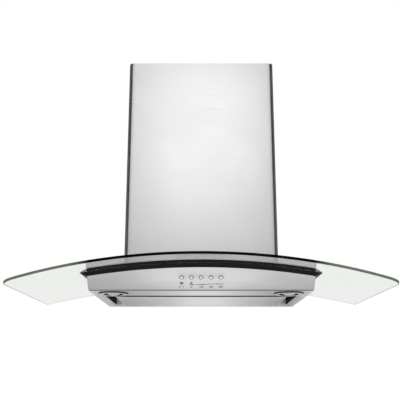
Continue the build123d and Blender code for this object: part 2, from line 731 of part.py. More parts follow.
# ---------------------------------------------------------------- duct collar
def duct_collar():
    """Round spigot on the blower, with a bead that stops the dampers."""
    base = CHAMBER_TOP + FIT
    top = CHAMBER_TOP + DUCT_H
    collar = disc(0, DUCT_Y, DUCT_R + 10, (base, base + 1.5))
    collar += disc(0, DUCT_Y, DUCT_R, (base, top))
    collar -= disc(0, DUCT_Y, DUCT_R - DUCT_WALL, (0, top + 10))
    bead = disc(0, DUCT_Y, DUCT_R - DUCT_WALL + 0.5, (DAMPER_Z - 2.5, DAMPER_Z - 0.8))
    bead -= disc(0, DUCT_Y, DUCT_R - 6, (0, top))
    bead -= block((-DUCT_R, DUCT_R), (DUCT_Y - 6, DUCT_Y + 6), (0, top))
    collar += bead
    return collar - rod(DUCT_Y, DAMPER_Z, DAMPER_PIN_R, (-DUCT_R - 1, DUCT_R + 1))


def damper_pin():
    return rod(DUCT_Y, DAMPER_Z, DAMPER_PIN_R, (0.3 - DUCT_R, DUCT_R - 0.3))


def damper_flap(side):
    """Half-round flap with two knuckles on the shared pin; side is -1 front, +1 rear."""
    flap = disc(0, DUCT_Y, DUCT_R - 3.5, (DAMPER_Z - 0.5, DAMPER_Z + 0.5))
    near = DUCT_Y + side * 4.2
    far = DUCT_Y + side * DUCT_R
    z = (DAMPER_Z - 0.5, DAMPER_Z + 0.5)
    flap &= block((-DUCT_R, DUCT_R), sorted((near, far)), z)
    for start in KNUCKLE_STARTS:
        x = sorted((side * start, side * (start + KNUCKLE_W)))
        flap += block(x, sorted((DUCT_Y, near)), z)
        flap += rod(DUCT_Y, DAMPER_Z, KNUCKLE_R, x)
    return flap - rod(DUCT_Y, DAMPER_Z, DAMPER_PIN_R + RUNNING_GAP, (-DUCT_R, DUCT_R))


# ---------------------------------------------------------------- chimney and wall fixings
def chimney_cover(half_width, front_y, back_y, z, corner_r):
    """Three-sided sheet cover with narrow returns along the wall."""
    cover = front_rounded(half_width, (front_y, back_y), z, corner_r)
    inner_y = (front_y + SHEET, back_y - SHEET)
    inner_z = (z[0] - 1, z[1] + 1)
    cover -= front_rounded(half_width - SHEET, inner_y, inner_z, corner_r - SHEET)
    gap = half_width - CHIMNEY_RETURN
    return cover - block((-gap, gap), (back_y - 5, back_y + 5), inner_z)


def chimney_lower():
    cover = chimney_cover(
        CHIMNEY_HALF_W, -CHIMNEY_D, 0, (30, CHIMNEY_TOP), CHIMNEY_CORNER_R
    )
    through = (CHIMNEY_HALF_W - 10, CHIMNEY_HALF_W + 10)
    cover -= both_sides(rod(SIDE_SCREW_Y, SIDE_SCREW_Z, SIDE_SCREW_R + CLEAR, through))
    return cover - under_arch(ARCH_R + 2 * FIT)


def chimney_upper():
    """Sliding cover, with rows of vent slots that show when it is raised."""
    inset = SHEET + SLEEVE_GAP
    cover = chimney_cover(
        CHIMNEY_HALF_W - inset,
        inset - CHIMNEY_D,
        -SHEET - CLEAR,
        UPPER_Z,
        CHIMNEY_CORNER_R - inset + 1,
    )
    for step in range(VENT_SLOTS):
        y = VENT_FIRST_Y + step * VENT_PITCH
        slot = block((-CHIMNEY_HALF_W, CHIMNEY_HALF_W), (y - 2, y + 2), VENT_SLOT_Z)
        cover -= fillet(slot.edges().filter_by(Axis.X), 1.9)
    return cover - bracket_screws()


def bracket_screws():
    """Countersunk screws through the sliding cover into its wall bracket."""
    face = CHIMNEY_HALF_W - SHEET - SLEEVE_GAP
    head = Rot(0, 90, 0) * Cone(2.4, 3.9, SHEET)
    cone = Pos(face - SHEET / 2, COVER_SCREW_Y, BRACKET_Z) * head
    shank = rod(COVER_SCREW_Y, BRACKET_Z, COVER_SCREW_R, (face - 9, face - SHEET / 2))
    return both_sides(cone + shank)


def chimney_bracket():
    """Wall bar that carries the sliding cover, stepped round its returns."""
    inner = CHIMNEY_HALF_W - 2 * SHEET - SLEEVE_GAP - FIT
    bar_end = inner - 11.3
    step_y = (-2 * BRACKET_T - 1.6, -BRACKET_T - 1.6)
    z = (BRACKET_Z - BRACKET_HALF_H, BRACKET_Z + BRACKET_HALF_H)
    bar = block((-bar_end, bar_end), (-BRACKET_T, 0), z)
    step = block((bar_end - BRACKET_T, bar_end), (step_y[0], 0), z)
    step += block((bar_end - BRACKET_T, inner), step_y, z)
    ear = block((inner - BRACKET_T, inner), (COVER_SCREW_Y - 12, step_y[1]), z)
    ear -= rod(COVER_SCREW_Y, BRACKET_Z, COVER_SCREW_R, (bar_end, CHIMNEY_HALF_W))
    bracket = bar + both_sides(step + ear)
    for side in (-1, 1):
        bracket -= peg(side * BRACKET_HOLE_X, BRACKET_Z, BRACKET_HOLE_R, (-BRACKET_T - 1, 1))
    return bracket


def wall_frame():
    """Back plate that hangs the blower and body on the wall."""
    half = CHAMBER_HALF_W
    plate_t = 2.0
    z = (GLASS_CROWN_Z + 4.4, CHAMBER_TOP)
    frame = block((-half, half), (-plate_t, 0), z)
    frame += both_sides(block((half - plate_t, half), (CHAMBER_Y[1] + FIT, 0), z))
    for side in (-1, 1):
        for height in WALL_HOLE_Z:
            frame -= peg(side * WALL_HOLE_X, height, WALL_HOLE_R, (-plate_t - 1, 1))
    return frame


def chimney_side_brackets():
    """Angles from the wall frame out to the lower cover's sides."""
    start = CHAMBER_HALF_W + FIT
    end = CHIMNEY_HALF_W - SHEET - FIT
    z = (SIDE_SCREW_Z - 10, SIDE_SCREW_Z + 10)
    back = -2.1
    leg_y = (SIDE_SCREW_Y - 10, back)
    plate = block((start, end), (back - BRACKET_T, back), z)
    tongue = block((start, start + 2), leg_y, z)
    ear = block((end - BRACKET_T, end), leg_y, z)
    ear -= rod(SIDE_SCREW_Y, SIDE_SCREW_Z, SIDE_SCREW_R, (end - 5, end + 5))
    return both_sides(plate + tongue + ear)


def chimney_screws():
    """Domed screws through the lower cover's sides into those angles."""
    face = CHIMNEY_HALF_W
    head = rod(SIDE_SCREW_Y, SIDE_SCREW_Z, 2 * SIDE_SCREW_R, (face, face + 2.2))
    head = fillet(head.edges().sort_by(Axis.X)[-1], 1.2)
    return both_sides(head + rod(SIDE_SCREW_Y, SIDE_SCREW_Z, SIDE_SCREW_R, (face - 8, face + 1)))


def parts():
    """Every node by name."""
    made = {
        "glass_canopy": glass_canopy(),
        "glass_gasket": glass_gasket(),
        "glass_spacers": glass_spacers(),
        "glass_washers": glass_washers(),
        "glass_bolts": glass_bolts(),
        "glass_nuts": glass_nuts(),
        "body_shell": body_shell(),
        "control_panel": control_panel(),
        "bottom_frame": bottom_frame(),
        "filter_support": filter_support(),
        "filter_frame": filter_frame(),
        "filter_mesh": filter_mesh(),
        "filter_latch": filter_latch(),
        "perimetric_panel": perimetric_panel(),
        "panel_pins": panel_pins(),
        "panel_strikes": panel_strikes(),
        "hinge_brackets": hinge_brackets(),
        "magnets": magnets(),
        "magnet_posts": magnet_posts(),
        "lamp_bezels": lamp_bezels(),
        "lamp_lenses": lamp_lenses(),
        "lamp_housings": lamp_housings(),
        "lamp_boards": lamp_boards(),
        "lamp_driver": lamp_driver(),
        "button_guide": button_guide(),
        "switches": switches(),
        "control_board": control_board(),
        "board_posts": board_posts(),
        "blower_chamber": blower_chamber(),
        "volute": volute(),
        "inlet_rings": inlet_rings(),
        "impeller": impeller(),
        "motor_shaft": motor_shaft(),
        "fan_motor": fan_motor(),
        "motor_bracket": motor_bracket(),
        "motor_screws": motor_screws(),
        "capacitor": capacitor(),
        "terminal_box": terminal_box(),
        "cable_gland": cable_gland(),
        "duct_collar": duct_collar(),
        "damper_pin": damper_pin(),
        "damper_flap_front": damper_flap(-1),
        "damper_flap_rear": damper_flap(1),
        "chimney_lower": chimney_lower(),
        "chimney_upper": chimney_upper(),
        "chimney_bracket": chimney_bracket(),
        "bracket_screws": bracket_screws(),
        "wall_frame": wall_frame(),
        "chimney_side_brackets": chimney_side_brackets(),
        "chimney_screws": chimney_screws(),
    }
    for number, x in enumerate(button_places(), start=1):
        made[f"button_{number}"] = button(x)
    return made


os.makedirs("parts", exist_ok=True)
for name, shape in parts().items():
    export_step(shape, f"parts/{name}.step")
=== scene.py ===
import json
from math import atan, atan2, cos, pi, radians, sin, sqrt

import bmesh
import bpy
import numpy as np
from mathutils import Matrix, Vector

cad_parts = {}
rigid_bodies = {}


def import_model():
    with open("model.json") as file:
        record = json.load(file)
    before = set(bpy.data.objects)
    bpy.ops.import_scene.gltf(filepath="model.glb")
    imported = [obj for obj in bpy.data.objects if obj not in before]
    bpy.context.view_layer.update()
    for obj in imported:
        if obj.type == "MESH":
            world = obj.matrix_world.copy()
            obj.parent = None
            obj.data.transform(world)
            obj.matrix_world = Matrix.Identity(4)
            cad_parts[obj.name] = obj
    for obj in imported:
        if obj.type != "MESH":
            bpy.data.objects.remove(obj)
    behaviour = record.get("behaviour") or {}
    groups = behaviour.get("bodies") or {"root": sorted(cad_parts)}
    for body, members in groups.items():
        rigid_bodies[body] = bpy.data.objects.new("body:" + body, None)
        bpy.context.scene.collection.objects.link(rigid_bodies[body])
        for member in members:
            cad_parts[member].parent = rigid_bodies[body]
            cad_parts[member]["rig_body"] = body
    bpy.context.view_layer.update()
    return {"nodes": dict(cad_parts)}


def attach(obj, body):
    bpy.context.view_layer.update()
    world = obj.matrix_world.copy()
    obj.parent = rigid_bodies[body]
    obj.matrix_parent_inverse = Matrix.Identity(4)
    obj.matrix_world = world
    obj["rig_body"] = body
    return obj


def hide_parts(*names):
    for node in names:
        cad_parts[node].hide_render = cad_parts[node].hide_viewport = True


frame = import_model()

# The hood's own sizes, in millimetres. Origin on the wall, level with the underside of the
# steel body; +X to the viewer's right, +Y into the wall, +Z up.
MM = 0.001
GLASS_HALF_W = 450.0
GLASS_D = 500.0
GLASS_T = 6.0
GLASS_BOW = 72.0
GLASS_CORNER_R = 44.0
GLASS_CROWN_Z = 63.6
GLASS_ARRIS = 0.3
GLASS_MARGIN = 1.2
ARCH_R = 1954.6
BODY_HALF_W = 266.5
BODY_D = 343.5
SHEET = 1.2
LEAN = 0.9
FIT = 0.1
COLLAR_H = 9.0
COLLAR_FLARE = 16.5
COLLAR_WALL = 5.0
WELL_HALF_W = 241.5
WELL_Y = (-249.0, -33.0)
TRAY_HALF_W = 218.5
TRAY_Y = (-226.0, -36.5)
TRAY_RIM_H = 9.0
DUCTWAY_HALF_W = 150.0
DUCTWAY_Y = (-243.0, -36.0)
DUCTWAY_CORNER_R = 12.0
BOLT_HOLE_R = 5.0
BOLT_PLACES = [(side * 172.0, y) for side in (-1, 1) for y in (-215.0, -60.0)]
LAMP_X = 214.0
LAMP_Y = -295.0
LAMP_HOLE_R = 32.3
RING_R = (23.5, 36.3)
RING_DROP = 3.0
DOME_R = 18.0
DOME_H = 6.0
BUTTON_PITCH = 23.0
BUTTON_UP = 37.0
BUTTON_HOLE_R = 5.45
BUTTON_PLACES = [(step - 2) * BUTTON_PITCH for step in range(5)]
CHIMNEY_HALF_W = 193.0
CHIMNEY_D = 283.0
CHIMNEY_TOP = 625.0
CHIMNEY_CORNER_R = 10.0
CHIMNEY_RETURN = 12.0
FILTER_Z = (28.0, 37.0)
FILTER_WINDOW_X = 137.0
FILTER_WINDOW_Y = (-216.0, -49.0)
FAN_Y = -137.0
FAN_Z = 150.0
FAN_R = 68.0
FAN_HALF_W = 60.0
BLADE_COUNT = 36
PRINT_T = 0.05

ARCH_Z = GLASS_CROWN_Z - ARCH_R
R_UNDER = ARCH_R - GLASS_T
R_BODY = R_UNDER - COLLAR_H
R_DECK_UNDER = R_BODY - SHEET
LEAN_ANGLE = atan(LEAN)
PANEL_UP = Vector((0, -sin(LEAN_ANGLE), cos(LEAN_ANGLE)))
PANEL_OUT = Vector((0, -cos(LEAN_ANGLE), -sin(LEAN_ANGLE)))


# ---- materials
def linear(hex_colour):
    """An sRGB hex colour as linear RGBA."""
    shown = [int(hex_colour[start:start + 2], 16) / 255 for start in (1, 3, 5)]
    mixed = [c / 12.92 if c <= 0.04045 else ((c + 0.055) / 1.055) ** 2.4 for c in shown]
    return (*mixed, 1.0)


def add(tree, kind, inputs=None, **settings):
    """One node in a tree, with its settings, values and links. A shader or maths kind leaves
    out its prefix, and a node given as a value stands for its first output."""
    whole_name = kind.startswith(("GeometryNode", "NodeGroup"))
    node = tree.nodes.new(kind if whole_name else "ShaderNode" + kind)
    for name, value in settings.items():
        setattr(node, name, value)
    for socket, value in (inputs or {}).items():
        if isinstance(value, bpy.types.Node):
            value = value.outputs[0]
        if isinstance(value, bpy.types.NodeSocket):
            tree.links.new(value, node.inputs[socket])
        else:
            node.inputs[socket].default_value = value
    return node


def new_finish(name):
    material = bpy.data.materials.new(name)
    material.use_nodes = True
    material.node_tree.nodes.clear()
    return material, material.node_tree


def brushed_stainless():
    """Stainless steel sheet, belt-brushed along its length. The scratches stretch every
    reflection across them and leave faint streaks of lighter and darker grey."""
    material, tree = new_finish("brushed_stainless")
    grain = add(tree, "UVMap", uv_map="grain")
    # 180 grit leaves lines about 0.08 mm apart; they are drawn 0.9 mm apart to show at all
    across = 1 / (0.9 * MM)
    along = 1 / (70 * MM)
    drawn = add(tree, "Mapping", {"Vector": grain, "Scale": (along, across, 1)})
    lines = add(tree, "TexNoise", {"Vector": drawn, "Scale": 1.0, "Detail": 3.0})
    place = add(tree, "TexCoord").outputs["Object"]
    # handling leaves patches about 110 mm across that are a little smoother or rougher
    handled = add(tree, "TexNoise", {"Vector": place, "Scale": 9.0, "Detail": 2.0})
    tone = add(tree, "Mix", {
        "Factor": lines, 6: linear("#C8C8C9"), 7: linear("#D5D5D6"),
    }, data_type="RGBA")
    streaked = add(tree, "MapRange", {
        "Value": lines,
        "From Min": 0.3, "From Max": 0.7, "To Min": 0.27, "To Max": 0.35,
    })
    rough = add(tree, "Math", {0: handled, 1: 0.05, 2: streaked}, operation="MULTIPLY_ADD")
    relief = add(tree, "Bump", {"Height": lines, "Strength": 0.12, "Distance": 0.05 * MM})
    tangent = add(tree, "Tangent", direction_type="UV_MAP", uv_map="grain")
    steel = add(tree, "BsdfPrincipled", {
        "Base Color": tone.outputs[2],
        "Metallic": 1.0,
        "Roughness": rough,
        "Anisotropic": 0.45,
        "Anisotropic Rotation": 0.25,
        "Normal": relief,
        "Tangent": tangent,
    })
    add(tree, "OutputMaterial", {"Surface": steel})
    return material


def galvanised_sheet():
    """Hot-dip galvanised steel sheet: a dull grey with zinc crystals in slightly different
    greys, each about 11 mm across."""
    material, tree = new_finish("galvanised_sheet")
    place = add(tree, "TexCoord").outputs["Object"]
    crystals = add(tree, "TexVoronoi", {"Vector": place, "Scale": 1 / (11 * MM)})
    shade = add(tree, "SeparateColor", {"Color": crystals.outputs["Color"]})
    tone = add(tree, "Mix", {
        "Factor": shade, 6: linear("#A9AEB1"), 7: linear("#BFC3C5"),
    }, data_type="RGBA")
    rough = add(tree, "MapRange", {"Value": shade.outputs[1], "To Min": 0.36, "To Max": 0.5})
    zinc = add(tree, "BsdfPrincipled", {
        "Base Color": tone.outputs[2], "Metallic": 1.0, "Roughness": rough,
    })
    add(tree, "OutputMaterial", {"Surface": zinc})
    return material


def tempered_glass():
    """Tempered float glass, 6 mm thick, fire polished and hard coated: clear when looked through,
    with the faint green of its iron, and close to a mirror at a flat glance. Its shadow is as
    light as the glass is."""
    material, tree = new_finish("tempered_glass")
    place = add(tree, "TexCoord").outputs["Object"]
    # the melt's iron varies a little over about 250 mm
    melt = add(tree, "TexNoise", {"Vector": place, "Scale": 4.0, "Detail": 0.0})
    clear_tint = add(tree, "Mix", {
        "Factor": melt, 6: linear("#EDF4EF"), 7: linear("#EFF4F1"),
    }, data_type="RGBA")
    # at a flat glance the pane is darkened towards grey: partly the longer slanting way through
    # pane and coat, mostly painted shade
    glance = add(tree, "LayerWeight", {"Blend": 0.5})
    glance_painted_shade = add(tree, "MapRange", {
        "Value": glance.outputs["Facing"], "From Min": 0.6, "From Max": 0.86,
    })
    tint = add(tree, "Mix", {
        "Factor": glance_painted_shade, 6: clear_tint.outputs[2], 7: linear("#808884"),
    }, data_type="RGBA")
    pane = add(tree, "BsdfPrincipled", {
        "Base Color": tint.outputs[2],
        "Roughness": 0.0,
        "IOR": 1.5,
        "Transmission Weight": 1.0,
        "Coat Weight": 1.0,
        "Coat Roughness": 0.0,
        "Coat IOR": 1.6,
    })
    clear = add(tree, "BsdfTransparent", {"Color": linear("#EEF6F1")})
    rays = add(tree, "LightPath")
    pass_light = add(tree, "MixShader", {0: rays.outputs["Is Shadow Ray"], 1: pane, 2: clear})
    add(tree, "OutputMaterial", {"Surface": pass_light})
    return material


def ground_glass_edge():
    """Ground and polished edge of the same glass: light that comes out here has crossed the
    pane from side to side, so it is a deep bottle green. Where the pane lies on its black
    collar it is painted nearly black, a painted shade for the collar seen along the pane."""
    material, tree = new_finish("ground_glass_edge")
    place = add(tree, "TexCoord").outputs["Object"]
    across = add(tree, "SeparateXYZ", {"Vector": place})
    distance = add(tree, "Math", {0: across}, operation="ABSOLUTE")
    # painted shade, nearly black, up to 244 mm from the middle, and all green from 288 mm, just
    # past the collar's end
    past_painted_shade = add(tree, "MapRange", {"Value": distance, "From Min": 0.244, "From Max": 0.288})
    # grinding flaws, drawn about 17 mm long so that they show
    flaws = add(tree, "TexNoise", {"Vector": place, "Scale": 60.0, "Detail": 2.0})
    green = add(tree, "Mix", {
        "Factor": flaws, 6: linear("#59665B"), 7: linear("#75826F"),
    }, data_type="RGBA")
    tone = add(tree, "Mix", {
        "Factor": past_painted_shade, 6: linear("#060707"), 7: green.outputs[2],
    }, data_type="RGBA")
    rough = add(tree, "MapRange", {"Value": flaws, "To Min": 0.3, "To Max": 0.42})
    edge = add(tree, "BsdfPrincipled", {
        "Base Color": tone.outputs[2],
        "Roughness": rough,
        "IOR": 1.5,
        "Specular IOR Level": 0.03,
    })
    add(tree, "OutputMaterial", {"Surface": edge})
    return material


def plain_finish(name, dark, light, grain_mm, rough, relief_mm=0.0, metal=0.0, shine=0.5):
    """A moulded, cast, plated or painted finish: two near colours mixed by a fine grain of a
    real size, with the same grain in the roughness and the surface."""
    material, tree = new_finish(name)
    place = add(tree, "TexCoord").outputs["Object"]
    grain = add(tree, "TexNoise", {"Vector": place, "Scale": 1 / (grain_mm * MM), "Detail": 3.0})
    tone = add(tree, "Mix", {"Factor": grain, 6: linear(dark), 7: linear(light)}, data_type="RGBA")
    spread = add(tree, "MapRange", {"Value": grain, "To Min": rough[0], "To Max": rough[1]})
    relief = add(tree, "Bump", {"Height": grain, "Strength": 0.5, "Distance": relief_mm * MM})
    body = add(tree, "BsdfPrincipled", {
        "Base Color": tone.outputs[2],
        "Metallic": metal,
        "Roughness": spread,
        "Specular IOR Level": shine,
        "Normal": relief,
    })
    add(tree, "OutputMaterial", {"Surface": body})
    return material


def circuit_board():
    """Fibreglass board under green solder mask; the copper tracks show through as lighter
    green lines about 1 mm wide."""
    material, tree = new_finish("circuit_board")
    place = add(tree, "TexCoord").outputs["Object"]
    tracks = add(tree, "TexBrick", {
        "Vector": place,
        "Color1": linear("#1D5A35"),
        "Color2": linear("#1A5230"),
        "Mortar": linear("#3C8A57"),
        "Scale": 1 / (14 * MM),
        "Mortar Size": 0.04,
    })
    board = add(tree, "BsdfPrincipled", {"Base Color": tracks, "Roughness": 0.38, "IOR": 1.55})
    add(tree, "OutputMaterial", {"Surface": board})
    return material


STAINLESS = brushed_stainless()
GALVANISED = galvanised_sheet()
GLASS = tempered_glass()
GLASS_EDGE = ground_glass_edge()
# EPDM rubber, moulded: near black, satin, with a very fine matt grain
RUBBER = plain_finish("black_rubber", "#0B0B0B", "#121212", 0.8, (0.45, 0.58), 0.02, shine=0.14)
# ABS, moulded and chrome plated: a soft mirror
CHROMED = plain_finish("chromed_plastic", "#D6D8DA", "#E0E1E2", 6.0, (0.1, 0.16), metal=1.0)
# ABS, moulded with a fine spark-eroded texture: black and low in gloss
BLACK_PLASTIC = plain_finish(
    "black_plastic", "#141414", "#1E1E1E", 0.6, (0.38, 0.5), 0.03, shine=0.35
)
# polycarbonate, moulded and frosted inside: milky, and soft in its gloss
LENS = plain_finish("frosted_lens", "#BDBEBF", "#CBCCCD", 1.5, (0.16, 0.26), 0.02)
# aluminium extrusion, anodised: fine satin, a little lighter than the steel
ANODISED = plain_finish(
    "anodised_aluminium", "#BFC1C3", "#CBCDCE", 0.7, (0.32, 0.42), 0.01, metal=1.0
)
# polypropylene, moulded: off-white, slightly waxy
WHITE_PLASTIC = plain_finish("white_plastic", "#DEDDD8", "#E8E7E2", 0.8, (0.35, 0.45), 0.02)
BOARD = circuit_board()
# steel, zinc plated and clear passivated: bright grey with a slight bluish bloom
ZINC = plain_finish("zinc_plated_steel", "#B4B8BC", "#C3C5C6", 3.0, (0.24, 0.36), 0.01, metal=1.0)
# steel can, stove enamelled dark grey: orange peel about 1.5 mm from crest to crest
MOTOR_PAINT = plain_finish("painted_motor", "#45484B", "#505357", 1.5, (0.35, 0.45), 0.03)
# aluminium foil, slit and drawn out into diamonds: bright broken edges
EXPANDED = plain_finish(
    "expanded_aluminium", "#B4B6B8", "#C8CACB", 2.0, (0.28, 0.4), 0.01, metal=1.0
)
# sintered ferrite: dark, dull grey, slightly grainy
FERRITE = plain_finish("magnet", "#37383A", "#47484B", 0.5, (0.5, 0.65), 0.03)
# painted shade: matt black, slightly pebbled, on the opening's walls, the rails' outer edges and
# the tray's rim, where they sit in shade
PAINTED_SHADE_BLACK = plain_finish("painted_shade_black", "#0B0B0C", "#141415", 2.5, (0.55, 0.7), 0.05, shine=0.15)
# painted light: near white, matt and even, on the opening's rear wall and the hinge brackets, where
# they show bright
PAINTED_LIGHT_WHITE = plain_finish("painted_light_white", "#E6E7E7", "#EEEFEF", 1.2, (0.5, 0.62), 0.03, shine=0.3)
# screen-printing ink, dark grey and matt, with the slight unevenness of the mesh
INK = plain_finish("printed_ink", "#626264", "#727274", 0.4, (0.5, 0.6))


# ---- mesh building
def arch_z(radius, x):
    """Height of an arch about the glass's bending axis."""
    return ARCH_Z + sqrt(radius**2 - x**2)


def on_panel(x, up, out=0.0):
    """A point of the control panel: across, up its face, and out of it."""
    return Vector((x, -BODY_D, 0)) + PANEL_UP * up + PANEL_OUT * out


def lay_grain(mesh):
    """Flat UVs in metres with U along the brushing, which runs level on every face."""
    layer = mesh.uv_layers.new(name="grain")
    corners = len(mesh.loops)
    vertex = np.zeros(corners, np.int32)
    mesh.loops.foreach_get("vertex_index", vertex)
    spots = np.zeros(len(mesh.vertices) * 3)
    mesh.vertices.foreach_get("co", spots)
    spots = spots.reshape(-1, 3)[vertex]
    facing = np.zeros(len(mesh.polygons) * 3)
    mesh.polygons.foreach_get("normal", facing)
    sizes = np.zeros(len(mesh.polygons), np.int32)
    mesh.polygons.foreach_get("loop_total", sizes)
    axis = np.repeat(np.abs(facing.reshape(-1, 3)).argmax(1), sizes)
    along = np.where(axis == 0, spots[:, 1], spots[:, 0])
    across = np.where(axis == 2, spots[:, 1], spots[:, 2])
    layer.data.foreach_set("uv", np.stack([along, across], 1).ravel())


def placed(name, data):
    """A new object in the scene, at the origin."""
    made = bpy.data.objects.new(name, data)
    bpy.context.scene.collection.objects.link(made)
    return made


def plain_mesh(made):
    """What an object's modifiers or letters make of it, as a mesh of its own."""
    bpy.context.view_layer.update()
    shaped = made.evaluated_get(bpy.context.evaluated_depsgraph_get())
    return bpy.data.meshes.new_from_object(shaped)


def shape_of(carrier):
    """An object's plain shape in millimetres, for piece(). The object itself is removed."""
    mesh = plain_mesh(carrier)
    points = [tuple(vertex.co / MM) for vertex in mesh.vertices]
    faces = [list(face.vertices) for face in mesh.polygons]
    carrier.modifiers.clear()
    bpy.data.objects.remove(carrier)
    bpy.data.meshes.remove(mesh)
    return points, faces, [0] * len(faces)


def moved(shape, place):
    points, faces, zones = shape
    return [place(*point) for point in points], faces, zones


def weld(mesh, gap_mm, sharp, flatten=False):
    """Closes seams, turns the faces outward, and shades every bend below the sharp angle."""
    work = bmesh.new()
    work.from_mesh(mesh)
    bmesh.ops.remove_doubles(work, verts=work.verts[:], dist=gap_mm * MM)
    if flatten:
        bmesh.ops.dissolve_limit(
            work, angle_limit=radians(0.5), verts=work.verts[:], edges=work.edges[:]
        )
    bmesh.ops.recalc_face_normals(work, faces=work.faces[:])
    work.to_mesh(mesh)
    work.free()
    if "custom_normal" in mesh.attributes:
        mesh.attributes.remove(mesh.attributes["custom_normal"])
    mesh.shade_smooth()
    mesh.set_sharp_from_angle(angle=radians(sharp))


def piece(name, shapes, coats, sharp=35.0):
    """One mesh object from shapes of (points in millimetres, faces, coat number of each face)."""
    points, faces, zones = [], [], []
    for shape_points, shape_faces, shape_zones in shapes:
        start = len(points)
        points += [Vector(p) * MM for p in shape_points]
        faces += [[start + index for index in face] for face in shape_faces]
        zones += shape_zones
    mesh = bpy.data.meshes.new(name)
    mesh.from_pydata(points, [], faces)
    for coat in coats:
        mesh.materials.append(coat)
    mesh.polygons.foreach_set("material_index", zones)
    weld(mesh, gap_mm=0.004, sharp=sharp)
    lay_grain(mesh)
    return placed(name, mesh)


def stand_for(made, slot, *nodes):
    """The piece takes the place of CAD nodes, on the body that carries them."""
    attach(made, frame["nodes"][nodes[0]]["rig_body"])
    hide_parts(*nodes)


def swept(rows, loop=False, zone_of=lambda side: 0):
    """Skin over a row of equal closed outlines, capped at both ends unless it loops."""
    points = [point for row in rows for point in row]
    width = len(rows[0])
    pairs = [(step, step + 1) for step in range(len(rows) - 1)]
    if loop:
        pairs.append((len(rows) - 1, 0))
    faces, zones = [], []
    for a, b in pairs:
        for side in range(width):
            after = (side + 1) % width
            faces.append([a * width + side, b * width + side, b * width + after, a * width + after])
            zones.append(zone_of(side))
    if not loop:
        faces += [list(range(width)), [(len(rows) - 1) * width + side for side in range(width)]]
        zones += [0, 0]
    return points, faces, zones


def turned(outline, place, steps=64, zone_of=lambda side: 0):
    """A lathe-turned shape from an outline of (radius, height); place puts it on the hood."""
    rows = []
    for step in range(steps):
        angle = 2 * pi * step / steps
        rows.append([place(r * cos(angle), r * sin(angle), h) for r, h in outline])
    return swept(rows, loop=True, zone_of=zone_of)


def arc(middle, radius, start, end, steps):
    """Points of an arc, angles in degrees."""
    angles = [radians(start + (end - start) * step / steps) for step in range(steps + 1)]
    return [(middle[0] + radius * cos(angle), middle[1] + radius * sin(angle)) for angle in angles]


def rounded_rectangle(x, y, radius, steps=5):
    left, right, low, high = x[0] + radius, x[1] - radius, y[0] + radius, y[1] - radius
    outline = []
    for turn, middle in enumerate(((right, high), (left, high), (left, low), (right, low))):
        outline += arc(middle, radius, 90 * turn, 90 * turn + 90, steps)
    return outline


def round_hole(x, y, radius, steps=48):
    return arc((x, y), radius, 0, 360, steps)[:-1]


def plan_with_holes(outline, holes=(), columns=()):
    """A flat plan, filled, and cut at each column so that it can be bent there."""
    plan = bmesh.new()
    for line in (outline, *holes):
        corners = [plan.verts.new((x, y, 0)) for x, y in line]
        for a, b in zip(corners, corners[1:] + corners[:1]):
            plan.edges.new((a, b))
    bmesh.ops.triangle_fill(plan, use_beauty=True, edges=plan.edges[:], normal=(0, 0, 1))
    for x in columns:
        everything = plan.verts[:] + plan.edges[:] + plan.faces[:]
        bmesh.ops.bisect_plane(
            plan, geom=everything, dist=0.001, plane_co=(x, 0, 0), plane_no=(1, 0, 0)
        )
    return plan


def plate(plan, rim, place, rim_zone=0):
    """A plan given thickness. rim(x, y) lists the edge's (outward, depth) steps there, from the
    face at depth 0 round to the back, and place(x, y, depth) puts a point on the hood."""
    plan.verts.index_update()
    flat = [vertex.co.copy() for vertex in plan.verts]
    beside = {}
    edges = []
    for edge in plan.edges:
        if len(edge.link_loops) != 1:
            continue
        corner = edge.link_loops[0]
        a, b = corner.vert, corner.link_loop_next.vert
        along = (b.co - a.co).normalized()
        outward = Vector((along.y, -along.x, 0)) * (1 if corner.face.normal.z > 0 else -1)
        for vertex in (a, b):
            beside.setdefault(vertex.index, []).append(outward)
        edges.append((a.index, b.index))
    back = {index: rim(point.x, point.y)[-1][1] for index, point in enumerate(flat)}
    count = len(flat)
    points = [place(p.x, p.y, 0) for p in flat]
    points += [place(p.x, p.y, back[index]) for index, p in enumerate(flat)]
    faces, zones = [], []
    for face in plan.faces:
        corners = [vertex.index for vertex in face.verts]
        faces += [corners, [count + index for index in reversed(corners)]]
        zones += [0, 0]
    rows = {}
    for index, (first, second) in beside.items():
        mitre = (first + second) / (1 + first.dot(second))
        steps = rim(flat[index].x, flat[index].y)
        row = [index]
        for outward, depth in steps[1:-1]:
            edge_point = flat[index] + mitre * outward
            row.append(len(points))
            points.append(place(edge_point.x, edge_point.y, depth))
        rows[index] = row + [count + index]
    for a, b in edges:
        for step in range(len(rows[a]) - 1):
            faces.append([rows[a][step], rows[a][step + 1], rows[b][step + 1], rows[b][step]])
            zones.append(rim_zone)
    plan.free()
    return points, faces, zones


def level(x, y, z):
    """Places a plate flat, at the height of the hood's underside."""
    return (x, y, z)


def quarter_turn(radius):
    angles = (0, pi / 8, pi / 4, 3 * pi / 8, pi / 2)
    return [(radius * sin(a), radius * (1 - cos(a))) for a in angles]


def soft_edge(radius=0.3, thick=SHEET):
    """Edge of a sheet with its arris rubbed off on both sides."""
    back = [(radius, thick - radius), (0.7 * radius, thick - 0.3 * radius), (0, thick)]
    return quarter_turn(radius) + back


def folded_edge(radius, reach):
    """Edge of a sheet folded back round a radius, as far as reach."""
    return quarter_turn(radius) + [(radius, reach), (radius - SHEET, reach), (0, SHEET)]


